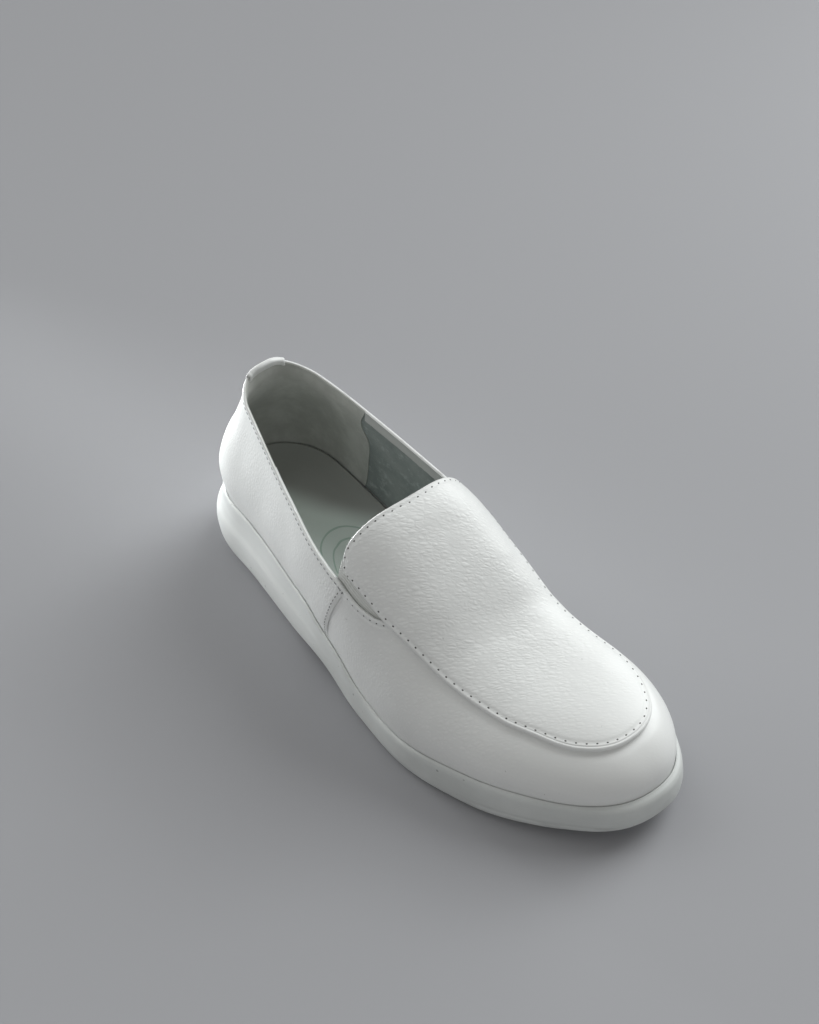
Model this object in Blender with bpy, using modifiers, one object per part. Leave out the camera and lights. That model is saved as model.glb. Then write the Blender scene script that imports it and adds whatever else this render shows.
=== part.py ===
"""White leather slip-on work shoe for the right foot, standing empty on its sole.

Lengths are in metres. +X runs from heel to toe, +Y to the inner (medial) side of the foot and +Z up.
A place along the shoe is a share of the sole's length, 0 at the heel and 1 at the toe. A place round it
is a turn: 0 at the back of the heel, pi at the toe, with the outer (lateral) side first. A place up the
upper is a rise: 0 where it leaves the sole, 1 on the ridge over the foot.
"""

from collections import namedtuple
from math import pi, radians

import bmesh
import bpy
import numpy as np

# Driving dimensions of the sole
SOLE_LENGTH = 0.262
HEEL_WIDTH = 0.0628
WAIST_WIDTH = 0.0714
BALL_WIDTH = 0.0914
TOE_WIDTH = 0.0810
HEEL_ROUND = 0.0367  # length of the round heel end
TOE_ROUND = 0.0610  # length of the round toe end
TOE_SWING = 0.0157  # how far the toe points to the inner side
HEEL_SIDE = 0.0300  # height of the sole's side at the heel
BALL_SIDE = 0.0150  # height of the sole's side at the ball
TOE_SIDE = 0.0138  # height of the sole's side at the toe
TOE_SPRING = 0.0077  # rise of the toe's lower edge
HEEL_BEVEL = 0.0018  # rise of the heel's lower edge
ARCH_RISE = 0.0035
SIDE_DEPTH = 0.0026  # relief of the sole's side
CUP_DEPTH = 0.0055  # how deep the upper stands in the sole
LIP_HEEL = 0.0044  # from the sole's fullest outline in to the upper, at the heel
LIP_TOE = 0.0024

# Driving dimensions of the tread windows
HEEL_WINDOW_START = 0.0130  # from the back of the heel
HEEL_WINDOW_LENGTH = 0.0600
HEEL_WINDOW_WIDTH = 0.0460
FOREFOOT_WINDOW_START = 0.1520
FOREFOOT_WINDOW_MARGIN = 0.0085  # from the sole's outline
WINDOW_CORNER = 0.0120
WINDOW_DEPTH = 0.0024
FRAME_WIDTH = 0.0025
LUG_HEIGHT = 0.0015
LUG_PITCH = 0.0150  # along the foot
LUG_ROW = 0.0130  # across the foot
LUG_GROOVE = 0.0018

# Driving dimensions of the upper
CONE_HEIGHT = 0.1200  # where the quarters would meet if the collar were closed
INSTEP_HEIGHT = 0.0926  # ridge at half length, above the floor
TOE_BOX_HEIGHT = 0.0460  # ridge at the toe, above the floor
BACK_HEIGHT = 0.0955  # collar at the back of the heel
LATERAL_HEIGHT = 0.0686  # collar where it meets the gore
MEDIAL_HEIGHT = 0.0725
HEEL_LEAN = 0.0115  # how far the back leans in at the collar
LEAN_START = 0.011  # above the sole's lip
LEAN_END = 0.062
SWELL_HEIGHT = 0.055  # of the sides' bulge and flare, above the sole's lip
SIDE_BULGE = 0.0012
HEEL_BULGE = 0.0006
LATERAL_FLARE = 0.0074  # how far the quarters stand out over the waist
MEDIAL_FLARE = 0.0084
RIDGE_SHIFT = 0.0049  # ridge over the instep, to the inner side
WALL = 0.0020
QUARTER_STEP = 0.0007  # quarter over vamp
APRON_THICKNESS = 0.0018
APRON_ROUND = 0.0007
APRON_CORNER = 0.0080  # rounding of its back corners
GORE_THICKNESS = 0.0009
GORE_SUNK = 0.0006  # gore's face under the upper's
UNDER_BACK = 0.0030  # apron beyond the upper at the throat
TAB_WIDTH = 0.0200
TAB_THICKNESS = 0.0008
TAB_OUTSIDE = 0.0100  # how far the tab reaches down outside the collar
TAB_INSIDE = 0.0060
INSOLE_THICKNESS = 0.0040
FIT_GAP = 0.0003  # between pieces that touch
LUG_OVERLAP = 0.0002  # of solids that are joined into one

# Rises and shares of a rise
CORNER_SHARE = 0.35  # of the way from the apron's edge to the ridge, where its back corner ends
UNDER_EDGE_SHARE = 0.030  # apron beyond the upper over the gore
GORE_MARGIN_SHARE = 0.008

# Places along the shoe
NECK_SHARE = 0.470  # front of the collar and back corner of the apron
SEAM_SHARE = 0.501  # quarter seam at the gore
SEAM_END_SHARE = 0.505
TIP_SHARE = 0.581  # where quarter and apron meet
THROAT_SHARE = 0.485  # back of the apron on the ridge
SEAM_SLANT_SHARE = -0.066  # how far back the quarter seam runs on its way down
SPINE_START_SHARE = 0.13  # the ridge's line; round ends fan out from it
SPINE_END_SHARE = 0.80
ARCH_START_SHARE = 0.31
ARCH_END_SHARE = 0.53
SPRING_START_SHARE = 0.72
BEVEL_END_SHARE = 0.06

# Reaches along the shoe, as shares
FLARE_SHARE = 0.42  # where the quarters stand out most
FLARE_REACH_SHARE = 0.14
HEEL_WINDOW_ROUND_SHARE = 0.40  # round back end, of the window's length
SEAM_REACH_SHARE = 0.09  # how far the facet columns beside the seam lean with it

HEEL_SIDE_SHARES = (0.52, 0.18)  # over which the sole's side takes on its heel form
BACK_SHARES = (0.16, 0.0)  # the same at the very back
SOLE_TIP_SHARES = (0.93, 1.0)  # and at the very front
LIP_SHARES = (0.1, 0.6)  # over which the lip widens
TOP_POWER_SHARES = (0.35, 0.60)

# Lugs, as shares of their pitch or of their room in a row
LUG_FIRST_SHARES = (0.65, 0.15)  # where the even and the odd rows begin
LUG_SIZE_SHARE = 1.08
LUG_LOBE_SHARE = 0.16

# Powers of the round forms
HEEL_POWER = 2.31
TOE_POWER = 2.32
WINDOW_POWER = 2.20
SIDE_POWER = 2.80
TOP_POWER_REAR = 1.60
TOP_POWER_FRONT = 2.26

# Facets
SPANS = ((0.0, NECK_SHARE, 17), (NECK_SHARE, SEAM_SHARE, 2), (SEAM_SHARE, SEAM_END_SHARE, 1),
         (SEAM_END_SHARE, TIP_SHARE, 4), (TIP_SHARE, 1.0, 18))
WALL_ROWS = 8
TOP_SHARES = (0.0, 0.07, 0.17, 0.35, 0.65, 1.0)  # rows from the apron's edge to the ridge
LUG_SIDES = 12

# Sole's half width, as shares of the four widths, and its centre line, as a share of the toe's swing
Plan = namedtuple("Plan", "along heel waist ball toe swing")
PLAN = (
    Plan(0.00, 0.98, 0.00, 0.00, 0.00, 0.00),
    Plan(0.12, 1.00, 0.00, 0.00, 0.00, 0.00),
    Plan(0.30, 0.50, 0.50, 0.00, 0.00, -0.16),
    Plan(0.42, 0.00, 1.00, 0.00, 0.00, -0.27),
    Plan(0.55, 0.00, 0.51, 0.51, 0.00, -0.17),
    Plan(0.68, 0.00, 0.00, 1.00, 0.00, 0.03),
    Plan(0.80, 0.00, 0.00, 0.51, 0.51, 0.43),
    Plan(0.90, 0.00, 0.00, 0.00, 1.00, 0.77),
    Plan(1.00, 0.00, 0.00, 0.00, 0.90, 1.00),
)

# Height of the sole's side, as shares of its three heights
Side = namedtuple("Side", "along heel ball toe")
SIDE = (
    Side(0.00, 0.96, 0.00, 0.00),
    Side(0.15, 1.03, 0.00, 0.00),
    Side(0.35, 0.91, 0.00, 0.00),
    Side(0.60, 0.00, 1.00, 0.00),
    Side(0.82, 0.00, 0.62, 0.66),
    Side(1.00, 0.00, 0.00, 1.00),
)

# Ridge over the foot, as shares of the cone, instep and toe box heights
Ridge = namedtuple("Ridge", "along cone instep toe")
RIDGE = (
    Ridge(0.00, 1.00, 0.00, 0.00),
    Ridge(0.15, 1.00, 0.00, 0.00),
    Ridge(0.35, 0.46, 0.505, 0.00),
    Ridge(0.50, 0.00, 1.00, 0.00),
    Ridge(0.60, 0.00, 0.64, 0.35),
    Ridge(0.70, 0.00, 0.21, 0.79),
    Ridge(0.80, 0.00, 0.05, 0.955),
    Ridge(0.90, 0.00, 0.00, 1.00),
    Ridge(1.00, 0.00, 0.00, 0.99),
)

# Collar between the heel and the gore, as shares of the back height and of its side's height
Collar = namedtuple("Collar", "along back side")
LATERAL_COLLAR = (Collar(0.00, 1.00, 0.00), Collar(0.12, 0.60, 0.47), Collar(0.30, 0.27, 0.76),
                  Collar(NECK_SHARE, 0.00, 1.00))
MEDIAL_COLLAR = (Collar(0.00, 1.00, 0.00), Collar(0.12, 0.57, 0.46), Collar(0.30, 0.36, 0.670),
                 Collar(NECK_SHARE, 0.00, 1.00))

# Edge of the apron, and front edge of the quarter over the gore, as rises
Edge = namedtuple("Edge", "along lateral medial")
APRON_EDGE = (Edge(NECK_SHARE, 0.510, 0.545), Edge(0.55, 0.507, 0.535), Edge(0.70, 0.600, 0.590),
              Edge(0.85, 0.612, 0.550), Edge(0.95, 0.572, 0.550), Edge(1.00, 0.565, 0.565))
QUARTER_EDGE = (Edge(NECK_SHARE, 0.0, 0.0), Edge(0.52, 0.12, 0.12), Edge(0.56, 0.45, 0.45),
                Edge(TIP_SHARE, 1.0, 1.0))

# Steps of the sole's side: height as a share of the side, depths as shares of the relief
Step = namedtuple("Step", "height front heel back tip")
STEPS = (
    Step(0.00, 1.00, 1.00, -0.10, -0.30),
    Step(0.05, 0.52, 0.50, -0.30, -0.55),
    Step(0.17, 0.12, 0.15, -0.50, -0.75),
    Step(0.38, 0.00, 0.00, -0.60, -0.80),
    Step(0.56, 0.02, 0.25, -0.60, -0.80),
    Step(0.66, 0.05, 0.90, -0.55, -0.75),
    Step(0.84, 0.14, 1.20, -0.30, -0.65),
    Step(0.96, 0.36, 1.20, -0.10, -0.45),
    Step(1.00, 0.62, 1.38, 0.00, -0.20),
)


def curve(rows, weights):
    """Smooth curve, never overshooting, through a table's rows; each size weighs one named column."""
    xs = np.array([row.along for row in rows])
    ys = np.array([sum(getattr(row, name) * size for name, size in weights.items()) for row in rows])
    step = np.diff(xs)
    rate = np.diff(ys) / step
    slope = np.concatenate([rate[:1], np.zeros(len(xs) - 2), rate[-1:]])
    for i in range(1, len(xs) - 1):
        if rate[i - 1] * rate[i] > 0:
            before = 2 * step[i] + step[i - 1]
            after = step[i] + 2 * step[i - 1]
            slope[i] = (before + after) / (before / rate[i - 1] + after / rate[i])

    def at(x):
        x = np.clip(x, xs[0], xs[-1])
        i = np.clip(np.searchsorted(xs, x, side="right") - 1, 0, len(xs) - 2)
        t = (x - xs[i]) / step[i]
        start = ys[i] * (1 + 2 * t) * (1 - t) ** 2 + slope[i] * step[i] * t * (1 - t) ** 2
        return start + ys[i + 1] * t * t * (3 - 2 * t) + slope[i + 1] * step[i] * t * t * (t - 1)

    return at


full_half = curve(PLAN, {"heel": HEEL_WIDTH / 2, "waist": WAIST_WIDTH / 2, "ball": BALL_WIDTH / 2,
                         "toe": TOE_WIDTH / 2})
centre = curve(PLAN, {"swing": TOE_SWING})
side_height = curve(SIDE, {"heel": HEEL_SIDE, "ball": BALL_SIDE, "toe": TOE_SIDE})
ridge_height = curve(RIDGE, {"cone": CONE_HEIGHT, "instep": INSTEP_HEIGHT, "toe": TOE_BOX_HEIGHT})
lateral_collar = curve(LATERAL_COLLAR, {"back": BACK_HEIGHT, "side": LATERAL_HEIGHT})
medial_collar = curve(MEDIAL_COLLAR, {"back": BACK_HEIGHT, "side": MEDIAL_HEIGHT})
apron_lateral = curve(APRON_EDGE, {"lateral": 1.0})
apron_medial = curve(APRON_EDGE, {"medial": 1.0})
quarter_edge = curve(QUARTER_EDGE, {"lateral": 1.0})


def ramp(x, start, end):
    return np.clip((x - start) / (end - start), 0, 1)


def ease(x, start, end):
    t = ramp(x, start, end)
    return t * t * (3 - 2 * t)


def along_of(turn):
    return (1 - np.cos(turn)) / 2


def turn_of(along):
    return np.arccos(1 - 2 * np.asarray(along, float))


def half_width(along):
    """Half the sole's width, with its round heel and toe."""
    heel = ramp(along, HEEL_ROUND / SOLE_LENGTH, 0)
    toe = ramp(along, 1 - TOE_ROUND / SOLE_LENGTH, 1)
    round_heel = (1 - heel ** HEEL_POWER) ** (1 / HEEL_POWER)
    round_toe = (1 - toe ** TOE_POWER) ** (1 / TOE_POWER)
    return full_half(along) * round_heel * round_toe


def plain_outline(turn):
    along = along_of(turn)
    side = np.where(np.sin(turn) >= 0, -1.0, 1.0)
    return along * SOLE_LENGTH, centre(along) + side * half_width(along)


def outline(turn, out=0.0):
    """The sole's fullest outline moved outwards: x, y and the outward direction."""
    turn = np.asarray(turn, float)
    tiny = 1e-3
    x, y = plain_outline(turn)
    x_after, y_after = plain_outline(turn + tiny)
    x_before, y_before = plain_outline(turn - tiny)
    length = np.hypot(x_after - x_before, y_after - y_before)
    out_x = (y_after - y_before) / length
    out_y = -(x_after - x_before) / length
    return x + out_x * out, y + out_y * out, out_x, out_y


def sole_bottom(along):
    arch = np.sin(pi * ramp(along, ARCH_START_SHARE, ARCH_END_SHARE)) ** 2
    spring = ramp(along, SPRING_START_SHARE, 1) ** 2
    bevel = ramp(along, BEVEL_END_SHARE, 0) ** 2
    return TOE_SPRING * spring + HEEL_BEVEL * bevel + ARCH_RISE * arch


def sole_top(along):
    """Height of the sole's lip, where the upper leaves it."""
    arch = np.sin(pi * ramp(along, ARCH_START_SHARE, ARCH_END_SHARE)) ** 2
    return sole_bottom(along) * (1 - arch) + side_height(along)


def lip_inset(along):
    return LIP_HEEL + (LIP_TOE - LIP_HEEL) * ease(along, *LIP_SHARES)


def upper_point(turn, rise):
    """Point on the upper's outer face."""
    turn, rise = np.broadcast_arrays(np.asarray(turn, float), np.asarray(rise, float))
    along = along_of(turn)
    x, y, out_x, out_y = outline(turn, -lip_inset(along))
    low = sole_top(along)
    lateral = np.sin(turn) >= 0
    spine = np.clip(along, SPINE_START_SHARE, SPINE_END_SHARE)
    spine_y = centre(spine) + RIDGE_SHIFT * ramp(spine, 0.3, 0.6)
    power = TOP_POWER_REAR + (TOP_POWER_FRONT - TOP_POWER_REAR) * ease(along, *TOP_POWER_SHARES)
    angle = np.clip(rise, 0, 1) * pi / 2
    inward = 1 - np.cos(angle) ** (2 / SIDE_POWER)
    upward = np.sin(angle) ** (2 / power)
    flat_x = x + inward * (spine * SOLE_LENGTH - x)
    z = low + upward * (ridge_height(flat_x / SOLE_LENGTH) - low)
    flat_y = y + inward * (spine_y - y)
    climb = ramp(z - low, 0, SWELL_HEIGHT)
    rear = ramp(along, 0.3, 0)
    fade = 1 - inward ** 2
    flare = np.where(lateral, LATERAL_FLARE, MEDIAL_FLARE)
    flare = flare * np.exp(-((along - FLARE_SHARE) / FLARE_REACH_SHARE) ** 2)
    swell = 27 / 4 * climb * (1 - climb) ** 2  # 1 at a third of the climb
    out = (SIDE_BULGE + HEEL_BULGE * rear) * swell * fade
    out = out - HEEL_LEAN * ease(z - low, LEAN_START, LEAN_END) * rear ** 2 + flare * climb * fade
    return np.stack([flat_x + out_x * out, flat_y + out_y * out, z], -1)


def collar_height(turn):
    along = along_of(turn)
    return np.where(np.sin(turn) >= 0, lateral_collar(along), medial_collar(along))


def rise_at_height(turn, height):
    """The rise at which the upper reaches this height."""
    low = np.zeros_like(turn)
    high = np.ones_like(turn)
    for _ in range(26):
        middle = (low + high) / 2
        under = upper_point(turn, middle)[..., 2] < height
        low = np.where(under, middle, low)
        high = np.where(under, high, middle)
    return low


def outward(turn, rise):
    """Direction out of the upper's face."""
    tiny = 1e-3
    round_way = upper_point(turn + tiny, rise) - upper_point(turn - tiny, rise)
    up_way = upper_point(turn, rise + tiny) - upper_point(turn, rise - tiny)
    normal = np.cross(round_way, up_way)
    return normal / np.linalg.norm(normal, axis=-1, keepdims=True)


def columns():
    """Shares of the facet columns up one side, from heel to toe."""
    shares = [0.0]
    for start, end, count in SPANS:
        turns = np.linspace(turn_of(start), turn_of(end), count + 1)[1:]
        shares.extend(along_of(turns))
    return np.array(shares)


ALONG = columns()
TOE_COLUMN = len(ALONG) - 1
NECK_COLUMN = SPANS[0][2]
SEAM_COLUMN = NECK_COLUMN + SPANS[1][2]
TIP_COLUMN = TOE_COLUMN - SPANS[-1][2]
AROUND = np.concatenate([ALONG, ALONG[-2:0:-1]])
IS_LATERAL = np.arange(len(AROUND)) <= TOE_COLUMN


def turns_at(shares, lateral):
    turn = turn_of(np.clip(shares, 0, 1))
    return np.where(lateral, turn, 2 * pi - turn)


# Blender helpers
def material(name, colour, roughness, metallic=0.0):
    made = bpy.data.materials.new(name)
    made.use_nodes = True
    shader = made.node_tree.nodes["Principled BSDF"]
    shader.inputs["Base Color"].default_value = (*colour, 1.0)
    shader.inputs["Roughness"].default_value = roughness
    shader.inputs["Metallic"].default_value = metallic
    return made


def add_object(name, points, faces, collection, finish=None):
    """New object from points and faces; points that coincide are welded."""
    mesh = bpy.data.meshes.new(name)
    mesh.from_pydata([tuple(map(float, p)) for p in points], [], faces)
    work = bmesh.new()
    work.from_mesh(mesh)
    bmesh.ops.remove_doubles(work, verts=work.verts, dist=1e-5)
    bmesh.ops.dissolve_degenerate(work, edges=work.edges, dist=1e-6)
    work.to_mesh(mesh)
    work.free()
    made = bpy.data.objects.new(name, mesh)
    collection.objects.link(made)
    if finish is not None:
        mesh.materials.append(finish)
        mesh.shade_smooth()
        mesh.set_sharp_from_angle(angle=radians(40))
    else:
        made.hide_render = True
        made.display_type = "WIRE"
    return made


def solidify(made, thickness, offset):
    shell = made.modifiers.new("wall", "SOLIDIFY")
    shell.thickness = thickness
    shell.offset = offset


def combine(made, other, operation):
    step = made.modifiers.new(operation.lower(), "BOOLEAN")
    step.operation = operation
    step.object = other
    step.solver = "EXACT"


def evaluated_mesh(made):
    bpy.context.view_layer.update()
    graph = bpy.context.evaluated_depsgraph_get()
    return bpy.data.meshes.new_from_object(made.evaluated_get(graph), depsgraph=graph)


def grid_faces(rows, count, closed, start=0):
    """Quads between rows of points that run round the shoe, facing outwards."""
    faces = []
    for row in range(rows - 1):
        for i in range(count if closed else count - 1):
            after = (i + 1) % count
            low = start + row * count
            high = low + count
            faces.append((low + i, low + after, high + after, high + i))
    return faces


def across_faces(lateral, medial, upward=True):
    """Strips from side to side, between two lists of point numbers that run forwards."""
    faces = []
    for i in range(len(lateral) - 1):
        corners = [lateral[i], lateral[i + 1], medial[i + 1], medial[i]]
        face = [c for n, c in enumerate(corners) if c not in corners[:n]]
        faces.append(tuple(face if upward else face[::-1]))
    return faces


def stack_of_rings(name, rings, collection, finish):
    """Closed solid from rings of points: the first is capped below, the last above."""
    count = len(rings[0])
    half = count // 2
    lateral = list(range(half + 1))
    medial = [(count - i) % count for i in range(half + 1)]
    top = (len(rings) - 1) * count
    faces = grid_faces(len(rings), count, True)
    faces += across_faces(lateral, medial, upward=False)
    faces += across_faces([top + i for i in lateral], [top + i for i in medial])
    return add_object(name, np.concatenate(rings), faces, collection, finish)


def ring(out, height):
    """Ring of points round the shoe at an offset from the sole's outline."""
    turns = turns_at(AROUND, IS_LATERAL)
    x, y, _, _ = outline(turns, out)
    return np.stack([x, y, np.broadcast_to(height, x.shape)], -1)


# Sole
def make_outsole(collection, finish):
    low = sole_bottom(AROUND)
    top = sole_top(AROUND)
    heel = ease(AROUND, *HEEL_SIDE_SHARES)
    back = ease(AROUND, *BACK_SHARES)
    tip = ease(AROUND, *SOLE_TIP_SHARES)
    rings = []
    for step in STEPS:
        depth = step.front + (step.heel - step.front) * heel + step.back * back + step.tip * tip
        rings.append(ring(-depth * SIDE_DEPTH, low + (top - low) * step.height))
    inner = -(lip_inset(AROUND) - FIT_GAP)
    rings.append(ring(inner, top))
    rings.append(ring(inner, top - CUP_DEPTH))
    return stack_of_rings("outsole", rings, collection, finish)


def make_insole(collection, finish):
    inner = -(lip_inset(AROUND) + WALL + FIT_GAP)
    low = sole_top(AROUND) - CUP_DEPTH + FIT_GAP
    rings = [ring(inner, low), ring(inner, low + INSOLE_THICKNESS)]
    return stack_of_rings("insole", rings, collection, finish)


# Tread windows
def corner_cut(distance):
    """How much a rounded corner takes off the half width, this far from the window's flat end."""
    left = np.clip(WINDOW_CORNER - distance, 0, WINDOW_CORNER)
    return WINDOW_CORNER - np.sqrt(WINDOW_CORNER ** 2 - left ** 2)


def heel_window():
    """Outline of the heel's window, lateral and medial points from back to front."""
    round_part = HEEL_WINDOW_LENGTH * HEEL_WINDOW_ROUND_SHARE
    back = round_part * (1 - np.cos(np.linspace(0, pi / 2, 8)))
    front = WINDOW_CORNER * (1 - np.cos(np.linspace(pi / 2, 0, 5)))
    middle = np.linspace(round_part, HEEL_WINDOW_LENGTH - WINDOW_CORNER, 4)[1:-1]
    x = np.concatenate([back, middle, HEEL_WINDOW_LENGTH - front])
    start = np.clip(1 - x / round_part, 0, 1)
    half = HEEL_WINDOW_WIDTH / 2 * (1 - start ** WINDOW_POWER) ** (1 / WINDOW_POWER)
    half = half - corner_cut(HEEL_WINDOW_LENGTH - x)
    x = x + HEEL_WINDOW_START
    middle_y = centre(x / SOLE_LENGTH)
    return np.stack([x, middle_y - half], -1), np.stack([x, middle_y + half], -1)


def forefoot_window():
    """Outline of the forefoot's window: a flat back end, then the toe's own outline."""
    start = FOREFOOT_WINDOW_START
    back = start + WINDOW_CORNER * (1 - np.cos(np.linspace(0, pi / 2, 5)))
    front = along_of(np.linspace(turn_of(back[-1] / SOLE_LENGTH), pi, 15)[1:]) * SOLE_LENGTH
    shares = np.concatenate([back, front]) / SOLE_LENGTH
    sides = []
    for lateral in (True, False):
        x, y, _, _ = outline(turns_at(shares, lateral), -FOREFOOT_WINDOW_MARGIN)
        middle_y = centre(x / SOLE_LENGTH)
        sign = -1 if lateral else 1
        y = y - sign * corner_cut(shares * SOLE_LENGTH - start)
        x[0] = start
        x[-1] = SOLE_LENGTH - FOREFOOT_WINDOW_MARGIN
        y[-1] = middle_y[-1]
        sides.append(np.stack([x, y], -1))
    return sides


def window_loop(window, out=0.0):
    """Loop of points round a window, moved outwards, and the numbers of its two sides' points."""
    lateral, medial = window
    loop = []
    for point in [*lateral, *medial[::-1]]:
        if not loop or np.hypot(*(point - loop[-1])) > 1e-5:
            loop.append(point)
    if np.hypot(*(loop[0] - loop[-1])) < 1e-5:
        loop.pop()
    loop = np.array(loop)
    ahead = np.roll(loop, -1, axis=0) - loop
    ahead /= np.linalg.norm(ahead, axis=1, keepdims=True)
    tangent = ahead + np.roll(ahead, 1, axis=0)
    tangent /= np.linalg.norm(tangent, axis=1, keepdims=True)
    moved = loop + np.stack([tangent[:, 1], -tangent[:, 0]], -1) * out
    lateral_numbers = list(range(len(lateral)))
    medial_numbers = [min(range(len(loop)), key=lambda n: np.hypot(*(loop[n] - point))) for point in medial]
    return moved, lateral_numbers, medial_numbers


def flat_ring(loop, height):
    return np.column_stack([loop, np.full(len(loop), height)])


def plate(name, window, out, low, high, collection, finish=None):
    loop, lateral, medial = window_loop(window, out)
    count = len(loop)
    faces = grid_faces(2, count, True)
    faces += across_faces(lateral, medial, upward=False)
    faces += across_faces([count + i for i in lateral], [count + i for i in medial])
    points = np.concatenate([flat_ring(loop, low), flat_ring(loop, high)])
    return add_object(name, points, faces, collection, finish)


def bend_to_sole(mesh):
    """Lifts a flat piece's points by the rise of the sole's underside."""
    for point in mesh.vertices:
        point.co.z += float(sole_bottom(point.co.x / SOLE_LENGTH))


def make_frame(name, window, collection, finish):
    outer, _, _ = window_loop(window, -FIT_GAP)
    inner, _, _ = window_loop(window, -FRAME_WIDTH)
    count = len(outer)
    high = WINDOW_DEPTH - FIT_GAP
    rings = [flat_ring(outer, 0), flat_ring(outer, high), flat_ring(inner, high), flat_ring(inner, 0)]
    points = np.concatenate(rings)
    faces = grid_faces(4, count, True)
    for i in range(count):
        after = (i + 1) % count
        faces.append((3 * count + i, 3 * count + after, after, i))
    made = add_object(name, points, faces, collection, finish)
    bend_to_sole(made.data)
    return made


def lug_outline(x, y):
    """Three-lobed lug with one lobe to the front."""
    angle = np.arange(LUG_SIDES) * 2 * pi / LUG_SIDES
    reach = (LUG_ROW - LUG_GROOVE) / 2 * (LUG_SIZE_SHARE + LUG_LOBE_SHARE * np.cos(3 * angle))
    return np.stack([x + reach * np.cos(angle), y + reach * np.sin(angle)], -1)


def inside(loop, x, y):
    """True where a point lies in a loop."""
    hits = 0
    for a, b in zip(loop, np.roll(loop, -1, axis=0)):
        if (a[1] > y) != (b[1] > y) and x < a[0] + (y - a[1]) / (b[1] - a[1]) * (b[0] - a[0]):
            hits += 1
    return hits % 2 == 1


def make_pad(name, window, collection, cutters, finish):
    """Rubber pad: a base that fills the frame, with rows of lugs cut off at its edge."""
    edge = -FRAME_WIDTH - FIT_GAP
    base = plate(name, window, edge, LUG_HEIGHT, WINDOW_DEPTH - FIT_GAP, collection, finish)
    clip = plate(name + "_clip", window, edge - LUG_OVERLAP, -LUG_HEIGHT, LUG_HEIGHT + LUG_OVERLAP, cutters)
    loop, _, _ = window_loop(window, edge)
    low, high = loop.min(axis=0), loop.max(axis=0)
    middle_y = (low[1] + high[1]) / 2
    points = []
    faces = []
    rows = int((high[1] - low[1]) / LUG_ROW / 2) + 2
    for row in range(-rows, rows):
        y = middle_y + (row + 0.5) * LUG_ROW
        first = low[0] + LUG_PITCH * LUG_FIRST_SHARES[row % 2]
        for number in range(int((high[0] - low[0]) / LUG_PITCH) + 1):
            x = first + number * LUG_PITCH
            if not inside(window_loop(window, edge - LUG_GROOVE)[0], x, y):
                continue
            start = len(points)
            lug = lug_outline(x, y)
            points += [*flat_ring(lug, 0), *flat_ring(lug, LUG_HEIGHT + 2 * LUG_OVERLAP)]
            faces += grid_faces(2, LUG_SIDES, True, start)
            faces.append(tuple(start + LUG_SIDES - 1 - i for i in range(LUG_SIDES)))
            faces.append(tuple(start + LUG_SIDES + i for i in range(LUG_SIDES)))
    lugs = add_object(name + "_lugs", points, faces, cutters)
    combine(lugs, clip, "INTERSECT")
    combine(base, lugs, "UNION")
    joined = evaluated_mesh(base)
    base.modifiers.clear()
    base.data = joined
    bend_to_sole(joined)
    return base


def cut_window(outsole, name, window, cutters):
    cutter = plate(name, window, 0.0, -WINDOW_DEPTH, WINDOW_DEPTH, cutters)
    for point in cutter.data.vertices:
        if point.co.z > 0:
            point.co.z += float(sole_bottom(point.co.x / SOLE_LENGTH))
    combine(outsole, cutter, "DIFFERENCE")


# Upper
def apron_rise(along, lateral):
    return np.where(lateral, apron_lateral(along), apron_medial(along))


def wall_top():
    """Rise of the wall's upper edge at each column: collar, quarter edge over the gore, then apron edge."""
    turns = turns_at(AROUND, IS_LATERAL)
    collar = rise_at_height(turns, collar_height(turns))
    apron = apron_rise(AROUND, IS_LATERAL)
    share = quarter_edge(AROUND)
    neck_turns = turns_at(np.full_like(AROUND, NECK_SHARE), IS_LATERAL)
    neck = rise_at_height(neck_turns, collar_height(neck_turns))
    return np.where(AROUND <= NECK_SHARE, collar, neck + (apron - neck) * share)


def quarter_raise(numbers, rise):
    """Height of the quarter over the vamp: none at the sole's lip, none in front of the seam."""
    return np.where(numbers <= SEAM_COLUMN, QUARTER_STEP, 0.0) * np.clip(rise * 6, 0, 1)


def side_column():
    """Column number up its own side, for each column round the shoe."""
    around = np.arange(len(AROUND))
    return np.where(IS_LATERAL, around, len(AROUND) - around)


def wall_rows():
    """Rows of points up the wall of the upper, from inside the cup to its upper edge."""
    top = wall_top()
    turns = turns_at(AROUND, IS_LATERAL)
    rows = [ring(-lip_inset(AROUND), sole_top(AROUND) - CUP_DEPTH + FIT_GAP)]
    lean = SEAM_SLANT_SHARE * np.exp(-((AROUND - SEAM_SHARE) / SEAM_REACH_SHARE) ** 2)
    lean = np.where((AROUND == 0) | (AROUND == 1), 0, lean)
    for row in range(WALL_ROWS + 1):
        share = row / WALL_ROWS
        rise = top * share
        moved = turns_at(AROUND + lean * (1 - share), IS_LATERAL)
        if row == 0:
            moved = turns
        points = upper_point(moved, rise)
        raised = quarter_raise(side_column(), rise)
        rows.append(points + outward(moved, np.clip(rise, 0.02, 0.98)) * raised[:, None])
    return rows


def notch_fade(along):
    """1 at the neck, 0 from the gore's tip forwards."""
    return ramp(along, TIP_SHARE, NECK_SHARE)


def top_numbers():
    return np.arange(NECK_COLUMN, len(AROUND) - NECK_COLUMN + 1)


def top_rows(back_inset, edge_inset):
    """Rows over the top of the foot, apron edge to ridge; the insets hold for the free edges at the back."""
    numbers = top_numbers()
    along = AROUND[numbers]
    lateral = IS_LATERAL[numbers]
    fade = notch_fade(along)
    edge = apron_rise(along, lateral)
    rows = []
    for share in TOP_SHARES:
        corner = 1 - np.sqrt(1 - ramp(share, CORNER_SHARE, 0) ** 2)
        shift = (THROAT_SHARE - NECK_SHARE) * share + (APRON_CORNER * corner + back_inset) / SOLE_LENGTH
        rise = edge + edge_inset * fade * ramp(share, CORNER_SHARE, 0)
        rise = rise + (1 - rise) * share
        rows.append(upper_point(turns_at(along + shift * fade, lateral), rise))
    return rows


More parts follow.
